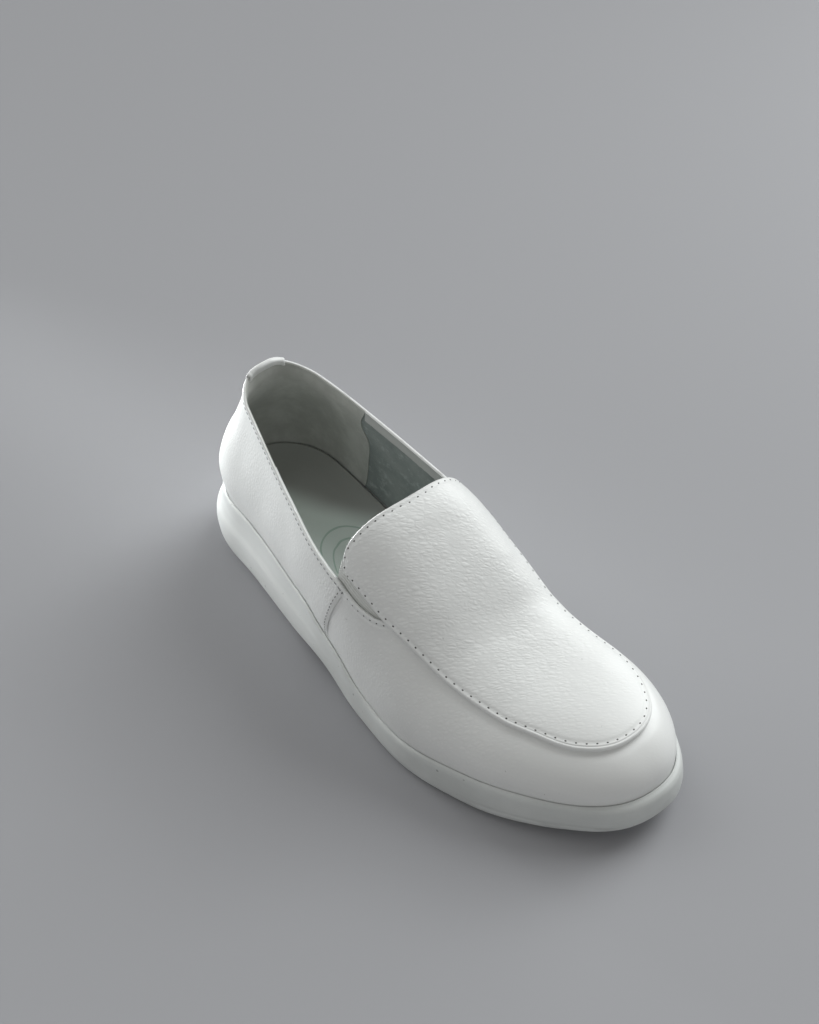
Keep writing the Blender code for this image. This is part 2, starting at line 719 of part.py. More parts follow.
def top_faces(start=0):
    return grid_faces(len(TOP_SHARES), len(top_numbers()), False, start)


def make_upper(collection, finish):
    wall = wall_rows()
    top = top_rows(UNDER_BACK, UNDER_EDGE_SHARE)
    points = np.concatenate([*wall, *top])
    faces = grid_faces(len(wall), len(AROUND), True) + top_faces(len(wall) * len(AROUND))
    made = add_object("upper", points, faces, collection, finish)
    solidify(made, WALL, -1)
    return made


def make_apron(collection, finish):
    rows = top_rows(0.0, 0.0)
    made = add_object("apron", np.concatenate(rows), top_faces(), collection, finish)
    work = bmesh.new()
    work.from_mesh(made.data)
    work.normal_update()
    for point in work.verts:
        point.co += point.normal * FIT_GAP
    work.to_mesh(made.data)
    work.free()
    solidify(made, APRON_THICKNESS, 1)
    rim = made.modifiers.new("rim", "BEVEL")
    rim.width = APRON_ROUND
    rim.segments = 2
    rim.limit_method = "ANGLE"
    rim.angle_limit = radians(50)
    return made


def make_gore(name, is_lateral, collection, finish):
    """Elastic piece that fills the notch between quarter and apron."""
    numbers = np.arange(NECK_COLUMN, TIP_COLUMN)
    if not is_lateral:
        numbers = len(AROUND) - numbers[::-1]
    top = wall_top()[numbers]
    along = AROUND[numbers]
    turns = turns_at(along, IS_LATERAL[numbers])
    low = top + GORE_MARGIN_SHARE
    behind = ramp(side_column()[numbers], NECK_COLUMN, NECK_COLUMN + 2)
    under = UNDER_EDGE_SHARE * notch_fade(along) * behind
    high = apron_rise(along, IS_LATERAL[numbers]) + under - GORE_MARGIN_SHARE
    rows = []
    for share in (0, 0.5, 1):
        rise = low + (high - low) * share
        rows.append(upper_point(turns, rise) - outward(turns, rise) * (GORE_SUNK + GORE_THICKNESS))
    made = add_object(name, np.concatenate(rows), grid_faces(3, len(numbers), False), collection, finish)
    solidify(made, GORE_THICKNESS, 1)
    return made


def make_back_tab(collection, finish):
    """Strip folded over the collar at the back of the heel."""
    turns = np.linspace(0, 0.8, 60)
    edge = upper_point(turns, rise_at_height(turns, collar_height(turns)))
    reach = np.concatenate([[0], np.cumsum(np.linalg.norm(np.diff(edge, axis=0), axis=1))])
    last = np.interp(TAB_WIDTH / 2, reach, turns)
    turn = np.linspace(-last, last, 9)
    height = collar_height(turn)
    top = rise_at_height(turn, height)
    down = rise_at_height(turn, height - TAB_OUTSIDE)
    down_inside = rise_at_height(turn, height - TAB_INSIDE)
    outside = QUARTER_STEP + FIT_GAP
    within = QUARTER_STEP - WALL - FIT_GAP

    def strip(rise, out, lift=0.0):
        way = outward(turn, rise)
        up = upper_point(turn, rise + 1e-3) - upper_point(turn, rise - 1e-3)
        up = up / np.linalg.norm(up, axis=1, keepdims=True)
        return upper_point(turn, rise) + way * out + up * lift

    rows = [strip(down, outside), strip((down + top) / 2, outside), strip(top, outside, FIT_GAP),
            strip(top, within, FIT_GAP), strip(down_inside, within)]
    faces = grid_faces(len(rows), len(turn), False)
    made = add_object("back_tab", np.concatenate(rows), faces, collection, finish)
    solidify(made, TAB_THICKNESS, 1)
    return made


def set_origin(outsole, collection):
    """Moves the shoe so that its origin is the middle of its sole's box, on the floor."""
    points = np.array([point.co for point in outsole.data.vertices])
    middle = (points.min(axis=0) + points.max(axis=0)) / 2
    for made in collection.objects:
        made.location = (-middle[0], -middle[1], 0)


def main():
    for old in list(bpy.data.objects):
        bpy.data.objects.remove(old, do_unlink=True)
    shoe = bpy.data.collections.new("nursing_shoe")
    cutters = bpy.data.collections.new("cutters")
    for made in (shoe, cutters):
        bpy.context.scene.collection.children.link(made)
    leather = material("white_leather", (0.80, 0.81, 0.80), 0.42)
    foam = material("white_sole", (0.74, 0.76, 0.75), 0.55)
    rubber = material("blue_rubber", (0.02, 0.11, 0.33), 0.45)
    grey = material("grey_lip", (0.40, 0.42, 0.44), 0.55)
    elastic = material("white_elastic", (0.76, 0.77, 0.75), 0.85)
    lining = material("insole_lining", (0.60, 0.66, 0.62), 0.80)

    outsole = make_outsole(shoe, foam)
    for name, window in (("heel", heel_window()), ("forefoot", forefoot_window())):
        cut_window(outsole, name + "_window", window, cutters)
        make_frame(name + "_pad_frame", window, shoe, grey)
        make_pad(name + "_tread_pad", window, shoe, cutters, rubber)
    make_insole(shoe, lining)
    make_upper(shoe, leather)
    make_apron(shoe, leather)
    make_gore("gore_lateral", True, shoe, elastic)
    make_gore("gore_medial", False, shoe, elastic)
    make_back_tab(shoe, leather)
    set_origin(outsole, shoe)
    set_origin(outsole, cutters)


main()
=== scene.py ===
"""Looks of a white leather slip-on work shoe for the right foot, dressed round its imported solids.

Lengths are in metres. +X runs from heel to toe, +Y to the inner (medial) side of the foot and +Z up.
A place along the shoe is a share of the sole's length, 0 at the heel and 1 at the toe. A place round it
is a turn: 0 at the back of the heel, pi at the toe, with the outer (lateral) side first. A place up the
upper is a rise: 0 where it leaves the sole, 1 on the ridge over the foot. The shape functions repeat the
solids' own, so the fine surfaces lie on them.
"""

from collections import namedtuple
from math import cos, pi, radians, sin

import bpy
import numpy as np
from mathutils import Matrix, Vector
from mathutils.bvhtree import BVHTree
from mathutils.kdtree import KDTree


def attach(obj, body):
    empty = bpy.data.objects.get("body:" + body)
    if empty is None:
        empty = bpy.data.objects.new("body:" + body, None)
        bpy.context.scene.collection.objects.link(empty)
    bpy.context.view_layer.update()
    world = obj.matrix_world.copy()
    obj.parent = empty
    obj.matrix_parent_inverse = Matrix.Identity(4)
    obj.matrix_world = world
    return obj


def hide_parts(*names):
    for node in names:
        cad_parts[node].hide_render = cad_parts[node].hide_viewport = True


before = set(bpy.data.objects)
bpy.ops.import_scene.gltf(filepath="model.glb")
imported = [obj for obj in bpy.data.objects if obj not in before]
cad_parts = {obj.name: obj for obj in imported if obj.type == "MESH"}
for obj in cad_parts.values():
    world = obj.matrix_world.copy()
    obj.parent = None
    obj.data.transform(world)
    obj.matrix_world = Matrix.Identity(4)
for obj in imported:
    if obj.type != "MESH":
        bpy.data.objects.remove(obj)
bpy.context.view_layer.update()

# Driving dimensions of the sole
SOLE_LENGTH = 0.262
HEEL_WIDTH = 0.0628
WAIST_WIDTH = 0.0714
BALL_WIDTH = 0.0914
TOE_WIDTH = 0.0810
HEEL_ROUND = 0.0367  # length of the round heel end
TOE_ROUND = 0.0610  # length of the round toe end
TOE_SWING = 0.0157  # how far the toe points to the inner side
HEEL_SIDE = 0.0300  # height of the sole's side at the heel
BALL_SIDE = 0.0150  # height of the sole's side at the ball
TOE_SIDE = 0.0138  # height of the sole's side at the toe
TOE_SPRING = 0.0077  # rise of the toe's lower edge
HEEL_BEVEL = 0.0018  # rise of the heel's lower edge
ARCH_RISE = 0.0035
SIDE_DEPTH = 0.0026  # relief of the sole's side
CUP_DEPTH = 0.0055  # how deep the upper stands in the sole
LIP_HEEL = 0.0044  # from the sole's fullest outline in to the upper, at the heel
LIP_TOE = 0.0024

# Driving dimensions of the tread windows
HEEL_WINDOW_START = 0.0130  # from the back of the heel
HEEL_WINDOW_LENGTH = 0.0600
HEEL_WINDOW_WIDTH = 0.0460
FOREFOOT_WINDOW_START = 0.1520
FOREFOOT_WINDOW_MARGIN = 0.0085  # from the sole's outline
WINDOW_CORNER = 0.0120
WINDOW_DEPTH = 0.0024
FRAME_WIDTH = 0.0025
LUG_HEIGHT = 0.0015
LUG_PITCH = 0.0150  # along the foot
LUG_ROW = 0.0130  # across the foot
LUG_GROOVE = 0.0018

# Driving dimensions of the upper
CONE_HEIGHT = 0.1200  # where the quarters would meet if the collar were closed
INSTEP_HEIGHT = 0.0926  # ridge at half length, above the floor
TOE_BOX_HEIGHT = 0.0460  # ridge at the toe, above the floor
BACK_HEIGHT = 0.0955  # collar at the back of the heel
LATERAL_HEIGHT = 0.0686  # collar where it meets the gore
MEDIAL_HEIGHT = 0.0725
HEEL_LEAN = 0.0115  # how far the back leans in at the collar
LEAN_START = 0.011  # above the sole's lip
LEAN_END = 0.062
SWELL_HEIGHT = 0.055  # of the sides' bulge and flare, above the sole's lip
SIDE_BULGE = 0.0012
HEEL_BULGE = 0.0006
LATERAL_FLARE = 0.0074  # how far the quarters stand out over the waist
MEDIAL_FLARE = 0.0084
RIDGE_SHIFT = 0.0049  # ridge over the instep, to the inner side
WALL = 0.0020
QUARTER_STEP = 0.0007  # quarter over vamp
APRON_THICKNESS = 0.0018
APRON_CORNER = 0.0080  # rounding of its back corners
GORE_THICKNESS = 0.0009
GORE_SUNK = 0.0006  # gore's face under the upper's
TAB_WIDTH = 0.0200
TAB_THICKNESS = 0.0008
TAB_OUTSIDE = 0.0100  # how far the tab reaches down outside the collar
TAB_INSIDE = 0.0060
INSOLE_THICKNESS = 0.0040
FIT_GAP = 0.0003  # between pieces that touch

# Rises and shares of a rise
CORNER_SHARE = 0.35  # of the way from the apron's edge to the ridge, where its back corner ends

# Places along the shoe
NECK_SHARE = 0.470  # front of the collar and back corner of the apron
SEAM_SHARE = 0.501  # quarter seam at the gore
TIP_SHARE = 0.581  # where quarter and apron meet
THROAT_SHARE = 0.485  # back of the apron on the ridge
SEAM_SLANT_SHARE = -0.066  # how far back the quarter seam runs on its way down
SPINE_START_SHARE = 0.13  # the ridge's line; round ends fan out from it
SPINE_END_SHARE = 0.80
ARCH_START_SHARE = 0.31
ARCH_END_SHARE = 0.53
SPRING_START_SHARE = 0.72
BEVEL_END_SHARE = 0.06

# Reaches along the shoe, as shares
FLARE_SHARE = 0.42  # where the quarters stand out most
FLARE_REACH_SHARE = 0.14
HEEL_WINDOW_ROUND_SHARE = 0.40  # round back end, of the window's length

HEEL_SIDE_SHARES = (0.52, 0.18)  # over which the sole's side takes on its heel form
BACK_SHARES = (0.16, 0.0)  # the same at the very back
SOLE_TIP_SHARES = (0.93, 1.0)  # and at the very front
LIP_SHARES = (0.1, 0.6)  # over which the lip widens
TOP_POWER_SHARES = (0.35, 0.60)

# Lugs, as shares of their pitch or of their room in a row
LUG_FIRST_SHARES = (0.65, 0.15)  # where the even and the odd rows begin
LUG_SIZE_SHARE = 1.08

# Powers of the round forms
HEEL_POWER = 2.31
TOE_POWER = 2.32
WINDOW_POWER = 2.20
SIDE_POWER = 2.80
TOP_POWER_REAR = 1.60
TOP_POWER_FRONT = 2.26

# Sole's half width, as shares of the four widths, and its centre line, as a share of the toe's swing
Plan = namedtuple("Plan", "along heel waist ball toe swing")
PLAN = (
    Plan(0.00, 0.98, 0.00, 0.00, 0.00, 0.00),
    Plan(0.12, 1.00, 0.00, 0.00, 0.00, 0.00),
    Plan(0.30, 0.50, 0.50, 0.00, 0.00, -0.16),
    Plan(0.42, 0.00, 1.00, 0.00, 0.00, -0.27),
    Plan(0.55, 0.00, 0.51, 0.51, 0.00, -0.17),
    Plan(0.68, 0.00, 0.00, 1.00, 0.00, 0.03),
    Plan(0.80, 0.00, 0.00, 0.51, 0.51, 0.43),
    Plan(0.90, 0.00, 0.00, 0.00, 1.00, 0.77),
    Plan(1.00, 0.00, 0.00, 0.00, 0.90, 1.00),
)

# Height of the sole's side, as shares of its three heights
Side = namedtuple("Side", "along heel ball toe")
SIDE = (
    Side(0.00, 0.96, 0.00, 0.00),
    Side(0.15, 1.03, 0.00, 0.00),
    Side(0.35, 0.91, 0.00, 0.00),
    Side(0.60, 0.00, 1.00, 0.00),
    Side(0.82, 0.00, 0.62, 0.66),
    Side(1.00, 0.00, 0.00, 1.00),
)

# Ridge over the foot, as shares of the cone, instep and toe box heights
Ridge = namedtuple("Ridge", "along cone instep toe")
RIDGE = (
    Ridge(0.00, 1.00, 0.00, 0.00),
    Ridge(0.15, 1.00, 0.00, 0.00),
    Ridge(0.35, 0.46, 0.505, 0.00),
    Ridge(0.50, 0.00, 1.00, 0.00),
    Ridge(0.60, 0.00, 0.64, 0.35),
    Ridge(0.70, 0.00, 0.21, 0.79),
    Ridge(0.80, 0.00, 0.05, 0.955),
    Ridge(0.90, 0.00, 0.00, 1.00),
    Ridge(1.00, 0.00, 0.00, 0.99),
)

# Collar between the heel and the gore, as shares of the back height and of its side's height
Collar = namedtuple("Collar", "along back side")
LATERAL_COLLAR = (Collar(0.00, 1.00, 0.00), Collar(0.12, 0.60, 0.47), Collar(0.30, 0.27, 0.76),
                  Collar(NECK_SHARE, 0.00, 1.00))
MEDIAL_COLLAR = (Collar(0.00, 1.00, 0.00), Collar(0.12, 0.57, 0.46), Collar(0.30, 0.36, 0.670),
                 Collar(NECK_SHARE, 0.00, 1.00))

# Edge of the apron, and front edge of the quarter over the gore, as rises
Edge = namedtuple("Edge", "along lateral medial")
APRON_EDGE = (Edge(NECK_SHARE, 0.510, 0.545), Edge(0.55, 0.507, 0.535), Edge(0.70, 0.600, 0.590),
              Edge(0.85, 0.612, 0.550), Edge(0.95, 0.572, 0.550), Edge(1.00, 0.565, 0.565))
QUARTER_EDGE = (Edge(NECK_SHARE, 0.0, 0.0), Edge(0.52, 0.12, 0.12), Edge(0.56, 0.45, 0.45),
                Edge(TIP_SHARE, 1.0, 1.0))

# Steps of the sole's side: height as a share of the side, depths as shares of the relief
Step = namedtuple("Step", "height front heel back tip")
STEPS = (
    Step(0.00, 1.00, 1.00, -0.10, -0.30),
    Step(0.05, 0.52, 0.50, -0.30, -0.55),
    Step(0.17, 0.12, 0.15, -0.50, -0.75),
    Step(0.38, 0.00, 0.00, -0.60, -0.80),
    Step(0.56, 0.02, 0.25, -0.60, -0.80),
    Step(0.66, 0.05, 0.90, -0.55, -0.75),
    Step(0.84, 0.14, 1.20, -0.30, -0.65),
    Step(0.96, 0.36, 1.20, -0.10, -0.45),
    Step(1.00, 0.62, 1.38, 0.00, -0.20),
)


def curve(rows, weights, key="along"):
    """Smooth curve, never overshooting, through a table's rows; each size weighs one named column."""
    xs = np.array([getattr(row, key) for row in rows])
    ys = np.array([sum(getattr(row, name) * size for name, size in weights.items()) for row in rows])
    step = np.diff(xs)
    rate = np.diff(ys) / step
    slope = np.concatenate([rate[:1], np.zeros(len(xs) - 2), rate[-1:]])
    for i in range(1, len(xs) - 1):
        if rate[i - 1] * rate[i] > 0:
            before = 2 * step[i] + step[i - 1]
            after = step[i] + 2 * step[i - 1]
            slope[i] = (before + after) / (before / rate[i - 1] + after / rate[i])

    def at(x):
        x = np.clip(x, xs[0], xs[-1])
        i = np.clip(np.searchsorted(xs, x, side="right") - 1, 0, len(xs) - 2)
        t = (x - xs[i]) / step[i]
        start = ys[i] * (1 + 2 * t) * (1 - t) ** 2 + slope[i] * step[i] * t * (1 - t) ** 2
        return start + ys[i + 1] * t * t * (3 - 2 * t) + slope[i + 1] * step[i] * t * t * (t - 1)

    return at


full_half = curve(PLAN, {"heel": HEEL_WIDTH / 2, "waist": WAIST_WIDTH / 2, "ball": BALL_WIDTH / 2,
                         "toe": TOE_WIDTH / 2})
centre = curve(PLAN, {"swing": TOE_SWING})
side_height = curve(SIDE, {"heel": HEEL_SIDE, "ball": BALL_SIDE, "toe": TOE_SIDE})
ridge_height = curve(RIDGE, {"cone": CONE_HEIGHT, "instep": INSTEP_HEIGHT, "toe": TOE_BOX_HEIGHT})
lateral_collar = curve(LATERAL_COLLAR, {"back": BACK_HEIGHT, "side": LATERAL_HEIGHT})
medial_collar = curve(MEDIAL_COLLAR, {"back": BACK_HEIGHT, "side": MEDIAL_HEIGHT})
apron_lateral = curve(APRON_EDGE, {"lateral": 1.0})
apron_medial = curve(APRON_EDGE, {"medial": 1.0})
quarter_edge = curve(QUARTER_EDGE, {"lateral": 1.0})


def ramp(x, start, end):
    return np.clip((x - start) / (end - start), 0, 1)


def ease(x, start, end):
    t = ramp(x, start, end)
    return t * t * (3 - 2 * t)


def along_of(turn):
    return (1 - np.cos(turn)) / 2


def turn_of(along):
    return np.arccos(1 - 2 * np.asarray(along, float))


def half_width(along):
    """Half the sole's width, with its round heel and toe."""
    heel = ramp(along, HEEL_ROUND / SOLE_LENGTH, 0)
    toe = ramp(along, 1 - TOE_ROUND / SOLE_LENGTH, 1)
    round_heel = (1 - heel ** HEEL_POWER) ** (1 / HEEL_POWER)
    round_toe = (1 - toe ** TOE_POWER) ** (1 / TOE_POWER)
    return full_half(along) * round_heel * round_toe


def plain_outline(turn):
    along = along_of(turn)
    side = np.where(np.sin(turn) >= 0, -1.0, 1.0)
    return along * SOLE_LENGTH, centre(along) + side * half_width(along)


def outline(turn, out=0.0):
    """The sole's fullest outline moved outwards: x, y and the outward direction."""
    turn = np.asarray(turn, float)
    tiny = 1e-3
    x, y = plain_outline(turn)
    x_after, y_after = plain_outline(turn + tiny)
    x_before, y_before = plain_outline(turn - tiny)
    length = np.hypot(x_after - x_before, y_after - y_before)
    out_x = (y_after - y_before) / length
    out_y = -(x_after - x_before) / length
    return x + out_x * out, y + out_y * out, out_x, out_y


def sole_bottom(along):
    arch = np.sin(pi * ramp(along, ARCH_START_SHARE, ARCH_END_SHARE)) ** 2
    spring = ramp(along, SPRING_START_SHARE, 1) ** 2
    bevel = ramp(along, BEVEL_END_SHARE, 0) ** 2
    return TOE_SPRING * spring + HEEL_BEVEL * bevel + ARCH_RISE * arch


def sole_top(along):
    """Height of the sole's lip, where the upper leaves it."""
    arch = np.sin(pi * ramp(along, ARCH_START_SHARE, ARCH_END_SHARE)) ** 2
    return sole_bottom(along) * (1 - arch) + side_height(along)


def lip_inset(along):
    return LIP_HEEL + (LIP_TOE - LIP_HEEL) * ease(along, *LIP_SHARES)


def upper_point(turn, rise):
    """Point on the upper's outer face."""
    turn, rise = np.broadcast_arrays(np.asarray(turn, float), np.asarray(rise, float))
    along = along_of(turn)
    x, y, out_x, out_y = outline(turn, -lip_inset(along))
    low = sole_top(along)
    lateral = np.sin(turn) >= 0
    spine = np.clip(along, SPINE_START_SHARE, SPINE_END_SHARE)
    spine_y = centre(spine) + RIDGE_SHIFT * ramp(spine, 0.3, 0.6)
    power = TOP_POWER_REAR + (TOP_POWER_FRONT - TOP_POWER_REAR) * ease(along, *TOP_POWER_SHARES)
    angle = np.clip(rise, 0, 1) * pi / 2
    inward = 1 - np.cos(angle) ** (2 / SIDE_POWER)
    upward = np.sin(angle) ** (2 / power)
    flat_x = x + inward * (spine * SOLE_LENGTH - x)
    z = low + upward * (ridge_height(flat_x / SOLE_LENGTH) - low)
    flat_y = y + inward * (spine_y - y)
    climb = ramp(z - low, 0, SWELL_HEIGHT)
    rear = ramp(along, 0.3, 0)
    fade = 1 - inward ** 2
    flare = np.where(lateral, LATERAL_FLARE, MEDIAL_FLARE)
    flare = flare * np.exp(-((along - FLARE_SHARE) / FLARE_REACH_SHARE) ** 2)
    swell = 27 / 4 * climb * (1 - climb) ** 2  # 1 at a third of the climb
    out = (SIDE_BULGE + HEEL_BULGE * rear) * swell * fade
    out = out - HEEL_LEAN * ease(z - low, LEAN_START, LEAN_END) * rear ** 2 + flare * climb * fade
    return np.stack([flat_x + out_x * out, flat_y + out_y * out, z], -1)


def collar_height(turn):
    along = along_of(turn)
    return np.where(np.sin(turn) >= 0, lateral_collar(along), medial_collar(along))


def rise_at_height(turn, height):
    """The rise at which the upper reaches this height."""
    low = np.zeros_like(turn)
    high = np.ones_like(turn)
    for _ in range(26):
        middle = (low + high) / 2
        under = upper_point(turn, middle)[..., 2] < height
        low = np.where(under, middle, low)
        high = np.where(under, high, middle)
    return low


def outward(turn, rise):
    """Direction out of the upper's face."""
    tiny = 1e-3
    round_way = upper_point(turn + tiny, rise) - upper_point(turn - tiny, rise)
    up_way = upper_point(turn, rise + tiny) - upper_point(turn, rise - tiny)
    normal = np.cross(round_way, up_way)
    return normal / np.linalg.norm(normal, axis=-1, keepdims=True)


def turns_at(shares, lateral):
    turn = turn_of(np.clip(shares, 0, 1))
    return np.where(lateral, turn, 2 * pi - turn)


def apron_rise(along, lateral):
    return np.where(lateral, apron_lateral(along), apron_medial(along))


def notch_fade(along):
    """1 at the neck, 0 from the gore's tip forwards."""
    return ramp(along, TIP_SHARE, NECK_SHARE)


# Sizes of the dressing
LEATHER = 0.0012
LEATHER_AT_COLLAR = 0.0008
LAPPED_GAP = 0.00008  # left under the quarter where it laps over the vamp
LINING = 0.0014
SIDE_LINING = 0.0009
COLLAR_THIN = 0.0013  # linings grow thinner towards the collar's edge
COLLAR_THIN_REACH = 0.0060
WING_LIFT = 0.0006  # of the wing's edge off the gore
WING_LIFT_REACH = 0.0070
GORE_DEEPER = 0.0007
EDGE_ROUND = 0.0007  # of a folded leather edge
EDGE_DROP = 0.0006
SEAM_LAP = 0.0060  # vamp under the quarter
SEAM_DROP = 0.03  # vamp's upper edge there, lower by this rise
APRON_LAP_RISE = 0.060  # vamp under the apron
APRON_LAP_SHARES = (TIP_SHARE - 0.006, TIP_SHARE + 0.02)
LINING_DEPTH = 0.0005  # lining's outer side under the upper's face
FRONT_LINING_DEPTH = 0.0013
LINING_TOP_SHARE = 0.994  # of the wall's height
SIDE_LINING_TOP_SHARE = 0.964
FACING_WIDTH = 0.0048  # light strip under the collar's edge, inside
FACING_DEPTH = 0.0023  # its inner face, from the upper's
GORE_DIP = 0.024  # how far the wing's edge sags over the gore, as a rise
APRON_CLEAR = 0.010  # apron's edge above the solid's, over the gore
APRON_THIN = 0.0007  # how much thinner the apron is there
APRON_LIFT = 0.00015  # its underside off the vamp
APRON_DROP, APRON_ROUNDING = 0.0013, 0.0010  # of its folded edge
FINE_STEP = 0.00026  # between the points near its edge
APRON_GIRTH = 0.042  # usual way from the apron's edge to the ridge
VAMP_PEBBLE = 0.65  # vamp's grain against the other pieces'
QUARTER_WAVE = 0.00016  # height of the quarter's slow unevenness
TAB_SHOWN = 0.0014  # how far the tab shows inside before it goes under the lining
TAB_TUCK = 0.0014
TAB_BODY_SHARE = 0.75  # of the tab's thickness
COLLAR_STITCH_INSET = 0.0019
COLLAR_STITCH_PITCH = 0.0027
WING_STITCH_INSET = 0.0024
WING_STITCH_PITCH = 0.0033
SEAM_STITCH_INSET = 0.0020
APRON_HOLE_PITCH = 0.0042
HOLE_INSET = 0.0021
TOE_HOLE_INSET = 0.0030
GORE_HOLE_LESS = 0.0008  # less inset over the gore
HOLE_RADIUS = 0.00034
HOLE_WIDTH, HOLE_SINK = 0.0008, 0.00022  # of the soft trough that the apron's holes lie in
INSOLE_CUP = 0.0022  # how far the footbed's edge turns up
INSOLE_EDGE = 0.0100  # width of that turned-up edge
INSOLE_ROUND = 0.0010
SIDE_RATE = 0.085  # metres up the wall for a rise of 1
LUG_FILL = 1.11  # fine lugs against the solid's
LUG_LOBES = 0.23
PAD_RIM = 0.0019  # rim round a pad, as high as its lugs
PAD_FACE = 0.0015  # of a pad, above the sole's underside
LUG_LEVELS = ((-0.0002, 1.0), (0.0003, 1.0), (0.0012, 0.975), (LUG_HEIGHT, 0.93))  # below the face, size

# Grooves at a distance from an edge; a negative depth is a bead
Groove = namedtuple("Groove", "middle width depth")
COLLAR_GROOVE = Groove(COLLAR_STITCH_INSET, 0.0007, 0.00014)
COLLAR_BEAD = Groove(0.0008, 0.0006, -0.00028)
SEAM_GROOVE = Groove(SEAM_STITCH_INSET, 0.0005, 0.00026)
WING_GROOVE = Groove(WING_STITCH_INSET, 0.0006, 0.0003)
APRON_VALLEY = Groove(0.0008, 0.0022, 0.00050)
APRON_RIM = Groove(0.0015, 0.00028, 0.00022)
TAB_GROOVE = Groove(0.0018, 0.0004, 0.00012)
# The same on the sole's side: middle and width are shares of its height
PARTING_LINE = Groove(0.30, 0.035, 0.00030)
SOLE_CREASE = Groove(0.60, 0.035, 0.00045)

# Facets of the fine surfaces
QUARTER_COLUMNS = 281
VAMP_COLUMNS = 361
WALL_STEPS = 72
APRON_COLUMNS = 170  # each side
SOLE_COLUMNS = 520
SIDE_STEPS = 44
FOOTBED_COLUMNS = 360
LUG_SIDES = 48

# Front edge of the heel's lining, as a share of the wall's height
Counter = namedtuple("Counter", "share along")
COUNTER = (Counter(0.00, 0.219), Counter(0.33, 0.228), Counter(0.62, 0.241), Counter(0.75, 0.233),
           Counter(1.00, 0.252))

# Soft creases over the apron: middle along, side from -1 to 1, reach and width in metres, depth, slant
Crease = namedtuple("Crease", "along side reach width depth slant")
CREASES = (
    Crease(0.545, 0.10, 0.020, 0.0030, 0.00013, 0.10),
    Crease(0.585, -0.25, 0.018, 0.0028, 0.00012, -0.12),
    Crease(0.612, 0.20, 0.024, 0.0034, 0.00018, 0.06),
    Crease(0.640, -0.15, 0.026, 0.0036, 0.00020, -0.05),
    Crease(0.668, 0.05, 0.030, 0.0038, 0.00023, 0.08),
    Crease(0.694, -0.30, 0.022, 0.0034, 0.00018, 0.15),
    Crease(0.716, 0.25, 0.022, 0.0036, 0.00016, -0.10),
    Crease(0.745, -0.05, 0.026, 0.0042, 0.00012, 0.05),
)

# Looks
GRAIN_TURN = -35  # degrees, of the way in which the leather's grain is drawn out
GRAIN_SCALE = 580.0
RING_PRINT = (0.098, -0.002)  # middle of the printed rings, from the back of the sole's outline
PAINTED_SHADOW_END, PAINTED_LIGHT_START = 0.036, 0.072  # painted shadow darkens the footbed behind the first, and a painted pool of light makes it pale beyond the second
FLOOR_HALF = 6.0
FLOOR_COLOUR = (0.366, 0.367, 0.385)
WORLD_COLOUR = (1.0, 0.99, 0.965)
WORLD_STRENGTH = 0.315
LIGHT_COLOUR = (0.97, 1.0, 1.0)
# Wide suns: azimuth, elevation, strength and spread in degrees
Sun = namedtuple("Sun", "name azimuth elevation strength spread")
SUNS = (
    Sun("back_light", 185, 45, 1.30, 40),
    Sun("low_back_light", 192, 20, 0.52, 40),
    Sun("left_light", 285, 45, 0.40, 40),
    Sun("top_light", 234, 60, 0.08, 40),
)
# Soft boxes near the shoe: azimuth, elevation, power, how far from their aim, size, spread in degrees
Box = namedtuple("Box", "name azimuth elevation power distance size spread aim")
BOXES = (
    Box("heel_box", 284, -3, 0.104, 0.28, 0.08, 40, (-0.150, -0.015, 0.070)),
    Box("side_box", 335, 18, 0.36, 0.7, 0.4, 180, (-0.10, 0.0, 0.05)),
    Box("instep_box", 180, 25, 1.18, 0.7, 0.4, 180, (0.0, 0.03, 0.05)),
    Box("toe_box", 70, 25, 0.14, 0.5, 0.4, 180, (0.13, 0.0, 0.03)),
)
CAMERA_AZIMUTH = 53.747
CAMERA_ELEVATION = 45.266
CAMERA_ROLL = -2.226
CAMERA_DISTANCE = 0.92078
CAMERA_LENS = 75.825
CAMERA_AIM = (0.103535, 0.015759, 0.056493)  # from the back of the sole's outline


# Mesh helpers
def grid_faces(rows, count):
    """Quads between rows of points that run with the turn, facing outwards."""
    faces = []
    for row in range(rows - 1):
        for low in range(row * count, (row + 1) * count - 1):
            faces.append((low, low + 1, low + count + 1, low + count))
    return faces


def weld(points, faces):
    """Joins points that coincide; returns the kept points' numbers and the faces, with no empty ones."""
    keys = {}
    first = []
    number = np.empty(len(points), int)
    for i, key in enumerate(map(tuple, np.round(points * 1e6).astype(int))):
        if key not in keys:
            keys[key] = len(first)
            first.append(i)
        number[i] = keys[key]
    kept = []
    for face in faces:
        corners = list(dict.fromkeys(int(number[c]) for c in face))
        if len(corners) > 2:
            kept.append(tuple(corners))
    return np.array(first), kept


def border(faces):
    """Edges that belong to one face only."""
    edges = {}
    for face in faces:
        for a, b in zip(face, face[1:] + face[:1]):
            if (b, a) in edges:
                del edges[(b, a)]
            else:
                edges[(a, b)] = True
    return list(edges)


def link(name, data):
    made = bpy.data.objects.new(name, data)
    bpy.context.scene.collection.objects.link(made)
    return made


def plain_piece(name, points, faces):
    """Bare piece at the shoe's place."""
    mesh = bpy.data.meshes.new(name)
    mesh.from_pydata(np.asarray(points, float).tolist(), [], faces)
    made = link(name, mesh)
    made.location = SHIFT
    return made


def mark(made, key, numbers):
    """Gives the finish one number for each point."""
    attribute = made.data.attributes.new(key, "FLOAT", "POINT")
    attribute.data.foreach_set("value", np.asarray(numbers, np.float32))


def dress(made, finish, replaces, sharp):
    """Puts a finish on a piece and lets it ride on the shoe."""
    made.data.materials.clear()
    made.data.materials.append(finish)
    made.data.shade_smooth()
    made.data.set_sharp_from_angle(angle=radians(sharp))
    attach(made, "root")
    if replaces:
        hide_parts(*replaces)
    return made


